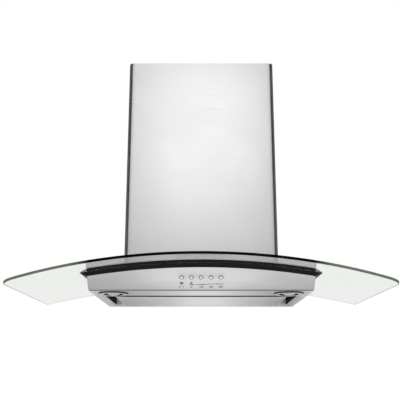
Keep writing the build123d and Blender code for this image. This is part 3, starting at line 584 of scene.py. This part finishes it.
# ---- glass canopy
def glass_outline(inset):
    """Plan of the glass: straight back and sides, a bowed front, two rounded corners."""
    bow_r = (GLASS_HALF_W**2 + GLASS_BOW**2) / (2 * GLASS_BOW)
    bow_y = bow_r - GLASS_D
    corner_x = GLASS_HALF_W - GLASS_CORNER_R
    corner_y = bow_y - sqrt((bow_r - GLASS_CORNER_R) ** 2 - corner_x**2)
    turn = atan2(corner_y - bow_y, corner_x)
    half_turn = pi / 2 + turn
    end = half_turn * 180 / pi
    side = GLASS_HALF_W - inset
    outline = [(side, -inset), (-side, -inset)]
    outline += arc((-corner_x, corner_y), GLASS_CORNER_R - inset, 180, 270 - end, 10)
    for step in range(1, 120):
        angle = -pi / 2 + half_turn * (step / 60 - 1)
        outline.append(((bow_r - inset) * cos(angle), bow_y + (bow_r - inset) * sin(angle)))
    outline += arc((corner_x, corner_y), GLASS_CORNER_R - inset, -90 + end, 0, 10)
    return outline


def glass_canopy():
    """Bent pane. Its edges are ground, with soft arrises and a ground margin on both faces."""
    arris, margin = GLASS_ARRIS, GLASS_MARGIN
    half = DUCTWAY_HALF_W + margin
    holes = [rounded_rectangle(
        (-half, half), (DUCTWAY_Y[0] - margin, DUCTWAY_Y[1] + margin), DUCTWAY_CORNER_R + margin
    )]
    holes += [round_hole(x, y, BOLT_HOLE_R + margin, 24) for x, y in BOLT_PLACES]
    first_bend, strip_w = -444, 7.4
    columns = [first_bend + strip_w * step for step in range(121)]
    rim = [(0, 0), (margin - arris, 0), (margin, arris)]
    rim += [(margin, GLASS_T - arris), (margin - arris, GLASS_T), (0, GLASS_T)]

    def bent(x, y, depth):
        radius = ARCH_R - depth
        x = x * radius / ARCH_R
        return (x, y, arch_z(radius, x))

    plan = plan_with_holes(glass_outline(margin), holes, columns)
    made = piece("canopy_pane", [plate(plan, lambda x, y: rim, bent, 1)], [GLASS, GLASS_EDGE])
    stand_for(made, "tempered_glass", "glass_canopy")


def glass_collar():
    """Black collar between body and glass: it spreads outward at both sides."""
    low_z = arch_z(R_BODY, BODY_HALF_W)
    high_z = arch_z(R_UNDER, BODY_HALF_W + COLLAR_FLARE)
    slope = COLLAR_FLARE / (high_z - low_z)
    low_r, high_r = R_BODY + FIT, R_UNDER - FIT

    def spot(wall, share, rise, inset):
        radius = low_r + (high_r - low_r) * rise
        corner_x = BODY_HALF_W
        # the corner spreads with the arch's height and the height falls as it spreads
        for _ in range(12):
            corner_x = BODY_HALF_W - inset + slope * (arch_z(radius, corner_x) - low_z)
        corner_z = arch_z(radius, corner_x)
        front_y = inset - BODY_D - LEAN * corner_z
        if wall in ("right", "left"):
            side = 1 if wall == "right" else -1
            run = share if wall == "right" else 1 - share
            return (side * corner_x, front_y + run * (-inset - front_y), corner_z)
        x = corner_x * (2 * share - 1) * (1 if wall == "front" else -1)
        z = arch_z(radius, x)
        return (x, inset - BODY_D - LEAN * z if wall == "front" else -inset, z)

    walls = (("front", 110), ("right", 24), ("back", 60), ("left", 24))
    stations = [(wall, step / steps) for wall, steps in walls for step in range(steps)]
    outline = [(0.0, 0.7), (0.03, 0.2), (0.08, 0.0), (0.5, 0.0), (0.93, 0.0), (0.98, 0.2)]
    outline += [(1.0, 0.6), (1.0, COLLAR_WALL), (0.5, COLLAR_WALL), (0.0, COLLAR_WALL)]
    rows = [[spot(wall, share, rise, inset) for rise, inset in outline] for wall, share in stations]
    made = piece("collar_ring", [swept(rows, loop=True)], [RUBBER], sharp=40)
    stand_for(made, "black_rubber", "glass_gasket")


def top_seal():
    """Low rubber strip on the glass, over the collar's front edge: it shows through the pane."""
    high, thick, soft = 8.5, 8.0, 0.8
    section = [(0, 0), (0, high - soft), (soft, high)]
    section += [(thick - soft, high), (thick, high - soft), (thick, 0)]
    rows = []
    for step in range(121):
        x = BODY_HALF_W * (step / 60 - 1)
        front = -BODY_D - LEAN * arch_z(R_UNDER, x)
        rows.append([(x, front + y, arch_z(ARCH_R + FIT, x) + z) for y, z in section])
    made = piece("top_seal", [swept(rows)], [RUBBER], sharp=40)
    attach(made, "casing")


# ---- steel body
def control_panel():
    """Leaning front plate: folded back at its lower edge, arched at the top, bored for the
    five button collars, with a flange turned in under the deck."""
    fold = 1.6
    edge = 0.3
    foot = 2.95
    half = BODY_HALF_W - edge
    top = [half - step * half / 60 for step in range(121)]
    outline = [(-half, foot), (half, foot)]
    outline += [(x, arch_z(R_BODY - edge, x) / cos(LEAN_ANGLE) - edge) for x in top]
    holes = [round_hole(x, BUTTON_UP, BUTTON_HOLE_R + edge, 40) for x in BUTTON_PLACES]

    def rim(x, up):
        return folded_edge(fold, fold + 4.0) if up < foot + 0.01 else soft_edge(edge)

    shape = plate(
        plan_with_holes(outline, holes), rim, lambda x, up, depth: on_panel(x, up, -depth)
    )
    wide = 14
    flange = []
    for x in top:
        z = arch_z(R_DECK_UNDER - FIT, x)
        y = SHEET / cos(LEAN_ANGLE) - BODY_D - LEAN * z
        low = z - SHEET
        flange.append([(x, y, z), (x, y + wide, z), (x, y + wide, low), (x, y + SHEET, low)])
    made = piece("control_plate", [shape, swept(flange)], [STAINLESS])
    stand_for(made, "brushed_stainless", "control_panel")


def bottom_frame():
    """Underside rails, turned up into the walls of the opening round a small bend. The rear wall
    carries painted light, near white; the other walls and the outer edges carry painted shade, matt
    black."""
    bend = 1.2
    edge = 0.3
    front = -BODY_D + 0.6
    half = BODY_HALF_W - SHEET - FIT
    outline = rounded_rectangle(
        (edge - half, half - edge), (front + edge, -SHEET - FIT - edge), 0.2, 1
    )
    well_x, well_y = WELL_HALF_W + bend, (WELL_Y[0] - bend, WELL_Y[1] + bend)
    well = rounded_rectangle((-well_x, well_x), well_y, 2.4)
    lamps = [round_hole(side * LAMP_X, LAMP_Y, LAMP_HOLE_R) for side in (-1, 1)]

    def rim(x, y):
        if abs(x) < well_x + 0.1 and well_y[0] - 0.1 < y < well_y[1] + 0.1:
            return folded_edge(bend, arch_z(R_DECK_UNDER - 2 * FIT, min(abs(x), WELL_HALF_W)))
        return soft_edge(edge)

    columns = [-240 + 20 * step for step in range(25)]
    plan = plan_with_holes(outline, [well, *lamps], columns)
    points, faces, zones = plate(plan, rim, level)
    painted_light_y, bare_z = (WELL_Y[1] - 9, WELL_Y[1] + 1), 0.3 * SHEET
    # faces above bare_z are painted: painted light on the rear wall, painted shade on the other
    # walls and outer edges
    for index, face in enumerate(faces):
        height = sum(points[corner][2] for corner in face) / len(face)
        rear_wall = all(painted_light_y[0] < points[corner][1] < painted_light_y[1] for corner in face)
        if height > bare_z:
            zones[index] = 2 if rear_wall else 1
    made = piece("underside_rails", [(points, faces, zones)], [STAINLESS, PAINTED_SHADE_BLACK, PAINTED_LIGHT_WHITE])
    stand_for(made, "brushed_stainless", "bottom_frame")


def suction_panel():
    """Flat panel that hangs in the opening: a shallow tray whose rim is turned up and carries
    painted shade, matt black.
    """
    bend = 0.7
    outline = rounded_rectangle(
        (-TRAY_HALF_W + bend, TRAY_HALF_W - bend), (TRAY_Y[0] + bend, TRAY_Y[1] - bend), 0.9
    )
    rim = folded_edge(bend, TRAY_RIM_H)
    points, faces, zones = plate(plan_with_holes(outline), lambda x, y: rim, level)
    # the turned-up rim's faces carry painted shade
    for index, face in enumerate(faces):
        if max(points[corner][2] for corner in face) > 0.3:
            zones[index] = 1
    made = piece("suction_tray", [(points, faces, zones)], [STAINLESS, PAINTED_SHADE_BLACK])
    stand_for(made, "brushed_stainless", "perimetric_panel")


def lower_chimney():
    """Three-sided cover with rounded corners, cut to sit on the arched glass."""
    r = CHIMNEY_CORNER_R
    mid_x, front_mid_y = CHIMNEY_HALF_W - r, r - CHIMNEY_D
    hem_r = 1.6
    right = [(CHIMNEY_HALF_W - CHIMNEY_RETURN, 0.0, 0, -1)]
    for angle in (90, 67.5, 45, 22.5, 0):
        a = radians(angle)
        hem_x = CHIMNEY_HALF_W - hem_r + hem_r * cos(a)
        right.append((hem_x, hem_r * sin(a) - hem_r, -cos(a), -sin(a)))
    for y in (-60, -120, -180, -240):
        right.append((CHIMNEY_HALF_W, y, -1, 0))
    for step in range(13):
        a = radians(-90 * step / 12)
        right.append((mid_x + r * cos(a), front_mid_y + r * sin(a), -cos(a), -sin(a)))
    front = [(mid_x - 2 * mid_x * step / 48, -CHIMNEY_D, 0, 1) for step in range(1, 48)]
    left = [(-x, y, -inward_x, inward_y) for x, y, inward_x, inward_y in reversed(right)]
    rows = []
    for x, y, inward_x, inward_y in right + front + left:
        foot = arch_z(ARCH_R + 2 * FIT, x)
        section = [(0, foot + 0.3), (0, CHIMNEY_TOP - 0.3), (0.3, CHIMNEY_TOP), (0.9, CHIMNEY_TOP)]
        section += [(SHEET, CHIMNEY_TOP - 0.3), (SHEET, foot + 0.3), (0.9, foot), (0.3, foot)]
        rows.append([(x + inward_x * depth, y + inward_y * depth, z) for depth, z in section])
    made = piece("chimney_cover", [swept(rows)], [STAINLESS])
    stand_for(made, "brushed_stainless", "chimney_lower")


# ---- lamps
def at_lamp(side):
    return lambda x, y, z: (side * LAMP_X + x, LAMP_Y + y, z)


def lamp_rings():
    """Steel ring bezels whose side walls are black as painted shade, and the sprung collar above.
    """
    inner, outer = RING_R
    collar_inner, collar_outer, collar_h = 27.8, 29.3, 6.0
    soft = 0.2
    low = soft - RING_DROP
    outline = [(inner, low), (inner + soft, -RING_DROP)]
    outline += [(outer - soft + soft * sin(a), low - soft * cos(a)) for a in (0, pi / 8, pi / 4)]
    outline += [(outer, low + 0.03), (outer, 0.0), (collar_outer, 0.0)]
    outline += [(collar_outer, collar_h), (collar_inner, collar_h)]
    outline += [(collar_inner, 0.05), (inner, 0.05)]
    # steel on the face and its outer rounding; the side walls are black, painted shade
    face_segments = (1, 2, 3)
    shapes = [
        turned(outline, at_lamp(side), 72, lambda segment: 0 if segment in face_segments else 1)
        for side in (-1, 1)
    ]
    made = piece("lamp_rings", shapes, [STAINLESS, RUBBER])
    stand_for(made, "brushed_stainless", "lamp_bezels")


def lamp_glasses():
    """Domed lenses with a flange that rests on the ring; the flange is black, a painted shade for
    the gap between lens and ring.
    """
    rings = 8
    shares = [step / rings for step in range(rings + 1)]
    outline = [(DOME_R * share, 0.3 - DOME_H * (1 - share**2)) for share in shares]
    outline += [(23.4, 0.3), (27.4, 0.35), (27.5, 1.4), (27.2, 1.6), (0, 1.6)]
    # the flange's segments are black: painted shade
    shapes = [
        turned(outline, at_lamp(side), 64, lambda segment: 1 if rings <= segment < rings + 4 else 0)
        for side in (-1, 1)
    ]
    made = piece("lamp_glasses", shapes, [LENS, RUBBER])
    stand_for(made, "frosted_lens", "lamp_lenses")


# ---- repeated pieces
def grown(name, sizes, coat, build):
    """Plain mesh from a small geometry tree. sizes are the tree's named inputs, and build adds
    its nodes and returns the geometry to be made real and coated."""
    tree = bpy.data.node_groups.new(name, "GeometryNodeTree")
    tree.interface.new_socket("Geometry", in_out="OUTPUT", socket_type="NodeSocketGeometry")
    keys = {}
    for label, value in sizes.items():
        if isinstance(value, bpy.types.Object):
            kind = "NodeSocketObject"
        else:
            kind = "NodeSocketInt" if isinstance(value, int) else "NodeSocketFloat"
        keys[label] = tree.interface.new_socket(label, in_out="INPUT", socket_type=kind).identifier
    given = add(tree, "NodeGroupInput")
    real = add(tree, "GeometryNodeRealizeInstances", {"Geometry": build(tree, given.outputs)})
    coated = add(tree, "GeometryNodeSetMaterial", {"Geometry": real, "Material": coat})
    add(tree, "NodeGroupOutput", {"Geometry": coated})
    carrier = placed(name, bpy.data.meshes.new(name))
    layout = carrier.modifiers.new(name, "NODES")
    layout.node_group = tree
    for label, value in sizes.items():
        layout[keys[label]] = value
    return shape_of(carrier)


def seed_object(name, shape):
    """A single item for a tree to repeat."""
    points, faces, _ = shape
    mesh = bpy.data.meshes.new(name)
    mesh.from_pydata([Vector(point) * MM for point in points], [], faces)
    return placed(name, mesh)


def in_a_row(tree, given):
    """The item repeated along X, centred."""
    gaps = add(tree, "Math", {0: given["Count"], 1: 1.0}, operation="SUBTRACT")
    half_gaps = add(tree, "Math", {0: gaps, 1: -0.5}, operation="MULTIPLY")
    start = add(tree, "Math", {0: half_gaps, 1: given["Pitch"]}, operation="MULTIPLY")
    first = add(tree, "CombineXYZ", {"X": start})
    step = add(tree, "CombineXYZ", {"X": given["Pitch"]})
    line = add(tree, "GeometryNodeMeshLine", {
        "Count": given["Count"], "Start Location": first, "Offset": step,
    })
    item = add(tree, "GeometryNodeObjectInfo", {"Object": given["Item"]})
    return add(tree, "GeometryNodeInstanceOnPoints", {
        "Points": line, "Instance": item.outputs["Geometry"],
    })


def in_a_ring(tree, given):
    """The item repeated round the Z axis, each turned to face outward."""
    ring = add(tree, "GeometryNodeMeshCircle", {
        "Vertices": given["Count"], "Radius": given["Radius"],
    })
    number = add(tree, "GeometryNodeInputIndex")
    share = add(tree, "Math", {0: number, 1: given["Count"]}, operation="DIVIDE")
    turn = add(tree, "Math", {0: share, 1: 2 * pi}, operation="MULTIPLY")
    facing = add(tree, "CombineXYZ", {"Z": turn})
    item = add(tree, "GeometryNodeObjectInfo", {"Object": given["Item"]})
    return add(tree, "GeometryNodeInstanceOnPoints", {
        "Points": ring, "Instance": item.outputs["Geometry"], "Rotation": facing,
    })


def button_collars():
    """Guide plate behind the panel, with a standing collar round each button."""
    outline = [(4.95, 0.3), (5.05, 0.45), (5.3, 0.45), (5.4, 0.3), (5.4, -2.4), (4.95, -2.4)]
    collar = seed_object("collar", turned(outline, level, 40))
    sizes = {"Item": collar, "Count": len(BUTTON_PLACES), "Pitch": BUTTON_PITCH * MM}
    row = grown("collar_row", sizes, BLACK_PLASTIC, in_a_row)
    bpy.data.objects.remove(collar)
    row = moved(row, lambda x, y, z: on_panel(x, BUTTON_UP + y, z))
    half, half_up, guide_t, hole_r = 2.5 * BUTTON_PITCH + 5, 11.7, 3.0, 5.3
    outline = rounded_rectangle((-half, half), (BUTTON_UP - half_up, BUTTON_UP + half_up), 2.0)
    holes = [round_hole(x, BUTTON_UP, hole_r, 32) for x in BUTTON_PLACES]
    guide = plate(
        plan_with_holes(outline, holes),
        lambda x, up: soft_edge(0.3, guide_t),
        lambda x, up, depth: on_panel(x, up, -SHEET - FIT - depth),
    )
    made = piece("button_collars", [row, guide], [BLACK_PLASTIC])
    stand_for(made, "black_plastic", "button_guide")


def push_button(number, x):
    """Domed chrome cap with a rolled shoulder, its flange and its stem."""
    dome_r, proud = 7.7, 3.0
    outline = [(r, proud - dome_r + sqrt(dome_r**2 - r**2)) for r in (0, 0.8, 1.6, 2.4, 3.2, 3.8)]
    outline += [(4.25, 1.58), (4.55, 1.25), (4.7, 0.8), (4.7, -4.5), (6.0, -4.5), (6.0, -5.6)]
    outline += [(2.5, -5.6), (2.5, -7.0), (0, -7.0)]
    shape = turned(outline, lambda a, b, h: on_panel(x + a, BUTTON_UP + b, h), 48)
    made = piece(f"push_button_{number}", [shape], [CHROMED])
    stand_for(made, "chromed_plastic", f"button_{number}")


def fan_drum():
    """Drum of forward-curved blades between two rims, on a middle disc with its hub."""
    inner, outer = FAN_R - 12.5, FAN_R - 0.6
    blade_t, sweep, half_w = 0.6, 5.5, FAN_HALF_W - 0.5
    curve = []
    for step in range(7):
        share = step / 6
        lean = sweep * sin(share * pi / 2) ** 2
        curve.append((inner + (outer - inner) * share - FAN_R, lean - sweep / 2))
    face = curve + [(x, y - blade_t) for x, y in reversed(curve)]
    blade = seed_object("blade", swept([[(x, y, z) for x, y in face] for z in (-half_w, half_w)]))
    sizes = {"Item": blade, "Count": BLADE_COUNT, "Radius": FAN_R * MM}
    blades = grown("blade_ring", sizes, GALVANISED, in_a_ring)
    bpy.data.objects.remove(blade)

    def on_shaft(x, y, z):
        return (z, FAN_Y + y, FAN_Z + x)

    rims = []
    for end in (-1, 1):
        lip = [(55, 58), (55.4, 59.8), (56, 60), (67.2, 60), (68, 59.4), (68, 58)]
        rims.append(turned([(r, end * z) for r, z in lip], on_shaft, 72))
    disc = [(4, 2), (11, 2), (11, 4), (67.5, 4), (67.9, 5), (67.5, 6)]
    disc += [(11, 6), (11, 21.4), (10.4, 22), (4, 22)]
    shapes = [moved(blades, on_shaft), *rims, turned(disc, on_shaft, 72)]
    made = piece("fan_drum", shapes, [GALVANISED])
    stand_for(made, "galvanised_sheet", "impeller")


def strand_layer(tree, given):
    """One layer of drawn-out foil: zigzag strands, each touching the mirrored next one."""
    run = add(tree, "GeometryNodeCurvePrimitiveLine", {
        "Start": (-FILTER_WINDOW_X * MM, 0, 0), "End": (FILTER_WINDOW_X * MM, 0, 0),
    })
    knots = add(tree, "GeometryNodeResampleCurve", {"Curve": run, "Count": given["Knots"]})
    number = add(tree, "GeometryNodeInputIndex")
    odd = add(tree, "Math", {0: number, 1: 2.0}, operation="MODULO")
    rise = add(tree, "Math", {0: odd, 1: given["Diamond"]}, operation="MULTIPLY")
    shift = add(tree, "CombineXYZ", {"Y": rise})
    zigzag = add(tree, "GeometryNodeSetPosition", {"Geometry": knots, "Offset": shift})
    fibre = add(tree, "GeometryNodeCurvePrimitiveCircle", {
        "Resolution": 4, "Radius": given["Strand"],
    })
    strand = add(tree, "GeometryNodeCurveToMesh", {
        "Curve": zigzag, "Profile Curve": fibre, "Fill Caps": True,
    })
    mirrored = add(tree, "GeometryNodeTransform", {"Geometry": strand, "Scale": (1, -1, 1)})
    pair = add(tree, "GeometryNodeJoinGeometry")
    tree.links.new(strand.outputs[0], pair.inputs[0])
    tree.links.new(mirrored.outputs[0], pair.inputs[0])
    pitch = add(tree, "Math", {0: given["Diamond"], 1: 2.0}, operation="MULTIPLY")
    step = add(tree, "CombineXYZ", {"Y": pitch})
    line = add(tree, "GeometryNodeMeshLine", {"Count": given["Rows"], "Offset": step})
    return add(tree, "GeometryNodeInstanceOnPoints", {"Points": line, "Instance": pair})


def filter_layers():
    """Two layers of expanded foil; real filters have ten or more of finer mesh, so the diamonds
    are drawn coarser, about 8 mm long."""
    rows = 21
    diamond = (FILTER_WINDOW_Y[1] - FILTER_WINDOW_Y[0] - 1.6) / (2 * rows)
    sizes = {"Knots": 69, "Diamond": diamond * MM, "Strand": 0.55 * MM, "Rows": rows}
    layer = grown("foil_strands", sizes, EXPANDED, strand_layer)
    first_y = FILTER_WINDOW_Y[0] + 0.8 + diamond
    low = moved(layer, lambda x, y, z: (x, first_y + y, FILTER_Z[0] + 2.2 + z))
    high = moved(layer, lambda x, y, z: (-x, first_y + y, FILTER_Z[0] + 5.6 + z))
    made = piece("filter_layers", [low, high], [EXPANDED], sharp=50)
    stand_for(made, "expanded_aluminium", "filter_mesh")


# ---- marks on the panel
def flat_mark(outline, holes=()):
    """A flat print in the panel's own across and up, with open middles."""
    return plate(
        plan_with_holes(outline, holes),
        lambda x, y: [(0, 0), (0, PRINT_T)],
        lambda x, up, depth: on_panel(x, up, PRINT_T - depth),
    )


def numeral(text, x, up, height):
    """Plain numerals, centred."""
    letters = bpy.data.curves.new("numeral", "FONT")
    letters.body = text
    capital_share = 0.72
    letters.size = height * MM / capital_share
    letters.offset = 0.22 * MM
    letters.align_x = "CENTER"
    shape = shape_of(placed("numeral", letters))
    bpy.data.curves.remove(letters)
    return moved(shape, lambda a, b, _: on_panel(x + a, up + b, PRINT_T))


def panel_marks():
    """Lamp, fan and rising wedge, with plain numerals under the buttons."""
    lamp_x, fan_x = BUTTON_PLACES[:2]
    stem = [(-1.8, 15.8), (1.8, 15.8), (1.8, 18.8), (-1.8, 18.8)]
    shapes = [flat_mark(arc((lamp_x, 19.6), 5.0, 0, 180, 14))]
    shapes.append(flat_mark([(lamp_x + x, up) for x, up in stem]))
    fan_up, lobe_out, lobe_half, lobe_half_w = 19.4, 3.0, 2.5, 1.9
    for turn in (90, 210, 330):
        lobe_x = fan_x + lobe_out * cos(radians(turn))
        lobe_up = fan_up + lobe_out * sin(radians(turn))
        tilt = radians(turn + 35)
        lobe = []
        for step in range(16):
            along, across = lobe_half * cos(pi * step / 8), lobe_half_w * sin(pi * step / 8)
            lobe.append((
                lobe_x + along * cos(tilt) - across * sin(tilt),
                lobe_up + along * sin(tilt) + across * cos(tilt),
            ))
        shapes.append(flat_mark(lobe))
    wedge = [(-16.5, 16.2), (37.0, 16.2), (37.0, 20.8), (-16.5, 16.9)]
    shapes.append(flat_mark(wedge, [[(8.0, 16.8), (36.4, 16.8), (36.4, 20.15), (8.0, 17.75)]]))
    last = [(37.6, 16.2), (51.4, 16.2), (51.4, 21.9), (37.6, 20.9)]
    shapes.append(flat_mark(last, [[(38.4, 17.0), (50.6, 17.0), (50.6, 21.0), (38.4, 20.1)]]))
    for text, x in zip(("0 - 1", "0", "100", "200", "300"), BUTTON_PLACES):
        shapes.append(numeral(text, x, up=8.6, height=4.6))
    made = piece("panel_marks", shapes, [INK])
    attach(made, "casing")


# ---- nodes kept from the CAD model
KEPT_FINISHES = (
    (RUBBER, "glass_spacers", "glass_washers"),
    (ZINC, "glass_bolts", "glass_nuts", "panel_pins", "panel_strikes", "damper_pin"),
    (ZINC, "motor_shaft", "motor_bracket", "motor_screws", "bracket_screws", "chimney_screws"),
    (GALVANISED, "filter_support", "lamp_housings", "blower_chamber", "wall_frame"),
    (GALVANISED, "chimney_bracket", "chimney_side_brackets"),
    (BLACK_PLASTIC, "filter_latch", "magnet_posts", "switches", "volute", "inlet_rings"),
    (BLACK_PLASTIC, "terminal_box", "cable_gland", "duct_collar"),
    (BLACK_PLASTIC, "damper_flap_front", "damper_flap_rear"),
    (WHITE_PLASTIC, "lamp_driver", "board_posts", "capacitor"),
    # the hinge brackets carry painted light, near white
    (PAINTED_LIGHT_WHITE, "hinge_brackets"),
    (FERRITE, "magnets"),
    (BOARD, "lamp_boards", "control_board"),
    (MOTOR_PAINT, "fan_motor"),
)


def refinish(node, coat):
    slots = frame["nodes"][node].data.materials
    for index in range(len(slots)):
        slots[index] = coat
    if not slots:
        slots.append(coat)


def smoothed_copy(name, node, slot, coat, bevel_mm=0.0):
    """A CAD node's own shape with its triangles welded, smooth bends, and soft arrises."""
    mesh = frame["nodes"][node].data.copy()
    mesh.name = name
    while mesh.uv_layers:
        mesh.uv_layers.remove(mesh.uv_layers[0])
    mesh.materials.clear()
    mesh.materials.append(coat)
    weld(mesh, gap_mm=0.01, sharp=30, flatten=True)
    made = placed(name, mesh)
    if bevel_mm:
        soft = made.modifiers.new("arris", "BEVEL")
        soft.width = bevel_mm * MM
        soft.segments = 2
        soft.limit_method = "ANGLE"
        soft.angle_limit = radians(40)
        soft.harden_normals = True
        made.data = plain_mesh(made)
        made.modifiers.remove(soft)
    lay_grain(made.data)
    stand_for(made, slot, node)


# ---- studio
FLOOR_Z = -0.75


def studio_camera():
    """Below the hood's middle and tilted up. The shift is as much of the photo's own as the
    other views can carry."""
    tilt = 13.372
    view = bpy.data.cameras.new("camera")
    view.sensor_width = 36
    view.lens = 54.034
    view.shift_x, view.shift_y = -0.003, 0.08
    view.clip_end = 200
    camera = placed("camera", view)
    camera.location = (0, -1.75546, -0.19325)
    camera.rotation_euler = (radians(90 + tilt), 0, 0)
    bpy.context.scene.camera = camera


def shown_directly(tree):
    """1 for what the camera sees, straight or in metal and glass, and 0 for what lights."""
    rays = add(tree, "LightPath")
    seen = add(tree, "Math", {
        0: rays.outputs["Is Camera Ray"], 1: rays.outputs["Is Glossy Ray"],
    }, operation="MAXIMUM")
    return add(tree, "Math", {0: seen, 1: rays.outputs["Is Transmission Ray"]}, operation="MAXIMUM")


def studio_room():
    """White all round to the eye, and a plain even light on the hood."""
    lit = 0.75
    world = bpy.data.worlds.new("studio")
    world.use_nodes = True
    tree = world.node_tree
    tree.nodes.clear()
    strength = add(tree, "Math", {
        0: shown_directly(tree), 1: 1.0 - lit, 2: lit,
    }, operation="MULTIPLY_ADD")
    room = add(tree, "Background", {"Color": (1, 1, 1, 1), "Strength": strength})
    add(tree, "OutputWorld", {"Surface": room})
    bpy.context.scene.world = world


def quad(name, corners, material):
    mesh = bpy.data.meshes.new(name)
    mesh.from_pydata(corners, [], [(0, 1, 2, 3)])
    mesh.materials.append(material)
    made = placed(name, mesh)
    return made


def studio_floor():
    reach = 60.0
    material, tree = new_finish("pale_floor")
    painted = add(tree, "BsdfDiffuse", {"Color": linear("#E6E6E4")})
    lift = add(tree, "Math", {0: shown_directly(tree), 1: 0.42}, operation="MULTIPLY")
    glow = add(tree, "Emission", {"Color": (1, 1, 1, 1), "Strength": lift})
    both = add(tree, "AddShader", {0: painted, 1: glow})
    add(tree, "OutputMaterial", {"Surface": both})
    turns = ((-1, -1), (1, -1), (1, 1), (-1, 1))
    quad("floor", [(reach * x, reach * y, FLOOR_Z) for x, y in turns], material)


def card(name, middle, right, up, glow, fade=None):
    """A studio card that only reflections see: bright above 0, a black flag at 0. fade gives the
    two distances from the middle plane between which the glow falls to black."""
    material, tree = new_finish(name)
    if fade:
        place = add(tree, "TexCoord").outputs["Object"]
        across = add(tree, "SeparateXYZ", {"Vector": place})
        distance = add(tree, "Math", {0: across}, operation="ABSOLUTE")
        glow = add(tree, "MapRange", {
            "Value": distance,
            "From Min": fade[0], "From Max": fade[1], "To Min": glow, "To Max": 0.0,
        })
    light = add(tree, "Emission", {"Color": (1, 1, 1, 1), "Strength": glow})
    add(tree, "OutputMaterial", {"Surface": light})
    middle, right, up = Vector(middle), Vector(right), Vector(up)
    corners = [middle - right - up, middle + right - up, middle + right + up, middle - right + up]
    made = quad(name, corners, material)
    for ray in ("camera", "diffuse", "transmission", "shadow"):
        setattr(made, "visible_" + ray, False)


def soft_light(name, place, target, size, watts):
    lamp = bpy.data.lights.new(name, "AREA")
    lamp.shape = "RECTANGLE"
    lamp.size, lamp.size_y = size
    lamp.energy = watts
    made = placed(name, lamp)
    made.location = place
    made.rotation_euler = (Vector(target) - Vector(place)).to_track_quat("-Z", "Y").to_euler()
    for ray in ("camera", "glossy", "transmission"):
        setattr(made, "visible_" + ray, False)


def studio_cards():
    """Flags, cards and softboxes round the hood. Brushed steel has no look without them."""
    card("front_wall", (0, -3.3, 1.9), (1.1, 0, 0), (0, 0, 2.1), 0.7)
    card("front_softbox", (0, -2.78, 1.5), (0.52, 0, 0), (0, 0, 0.62), 2.3)
    soft_z, low_z, rear_y = FLOOR_Z + 0.015, FLOOR_Z + 0.01, 1.5
    card("low_softbox", (0, -0.72, soft_z), (0.17, 0, 0), (0, 0.3, 0), 1.2)
    card("low_grey", (0, -0.02, soft_z), (0.6, 0, 0), (0, 0.38, 0), 0.6)
    tall, deep = (0, 0, 3.2), (0, 0.35, 0)
    for side, name in ((-1, "left"), (1, "right")):
        # the photo's right half is a little brighter than its left
        lean = 0.05 * side
        card(f"front_flag_{name}", (side * 2.8, -3.3, 2.8), (1.7, 0, 0), tall, 0.0)
        card(f"side_flag_{name}", (side * 4.5, -2.4, 2.8), (0, 0.9, 0), tall, 0.0)
        card(f"side_grey_{name}", (side * 4.5, -0.15, 2.8), (0, 1.35, 0), tall, 0.2)
        card(f"back_flag_{name}", (side * 4.5, 2.75, 2.8), (0, 1.55, 0), tall, 0.0)
        card(f"rear_flag_{name}", (side * 2.8, 4.3, 3.1), (2.2, 0, 0), (0, 0, 2.8), 0.0)
        card(f"rear_corner_{name}", (side * 0.59, rear_y, 0.6), (0.11, 0, 0), (0, 0, 0.82), 0.0)
        card(f"rear_foot_{name}", (side * 0.58, rear_y, -0.61), (0.09, 0, 0), (0, 0, 0.13), 0.0)
        card(f"low_flag_{name}", (side, -0.65, low_z), (0.5, 0, 0), deep, 0.52 + lean)
        card(f"low_step_{name}", (side * 0.35, -0.65, low_z), (0.15, 0, 0), deep, 0.78 + lean)
        rear = (side * 0.295 + 0.015, rear_y, 0.06)
        card(f"rear_fade_{name}", rear, (0.19, 0, 0), (0, 0, 0.8), 1 + 0.07 * side, (0.06, 0.485))


studio_camera()
studio_room()
studio_floor()
studio_cards()
soft_light("key", (-1.4, -2.2, 2.4), (0, -0.2, 0.2), (1.8, 1.8), 28)
soft_light("fill", (1.8, -1.6, 1.2), (0, -0.2, 0.2), (1.5, 1.5), 12)
bpy.context.scene.view_settings.view_transform = "Standard"

glass_canopy()
glass_collar()
top_seal()
control_panel()
bottom_frame()
suction_panel()
lower_chimney()
smoothed_copy("casing_shell", "body_shell", "brushed_stainless", STAINLESS)
smoothed_copy("sliding_cover", "chimney_upper", "brushed_stainless", STAINLESS)
smoothed_copy("filter_rim", "filter_frame", "anodised_aluminium", ANODISED, 0.6)
lamp_rings()
lamp_glasses()
button_collars()
for number, x in enumerate(BUTTON_PLACES, start=1):
    push_button(number, x)
fan_drum()
filter_layers()
panel_marks()
for coat, *nodes in KEPT_FINISHES:
    for node in nodes:
        refinish(node, coat)
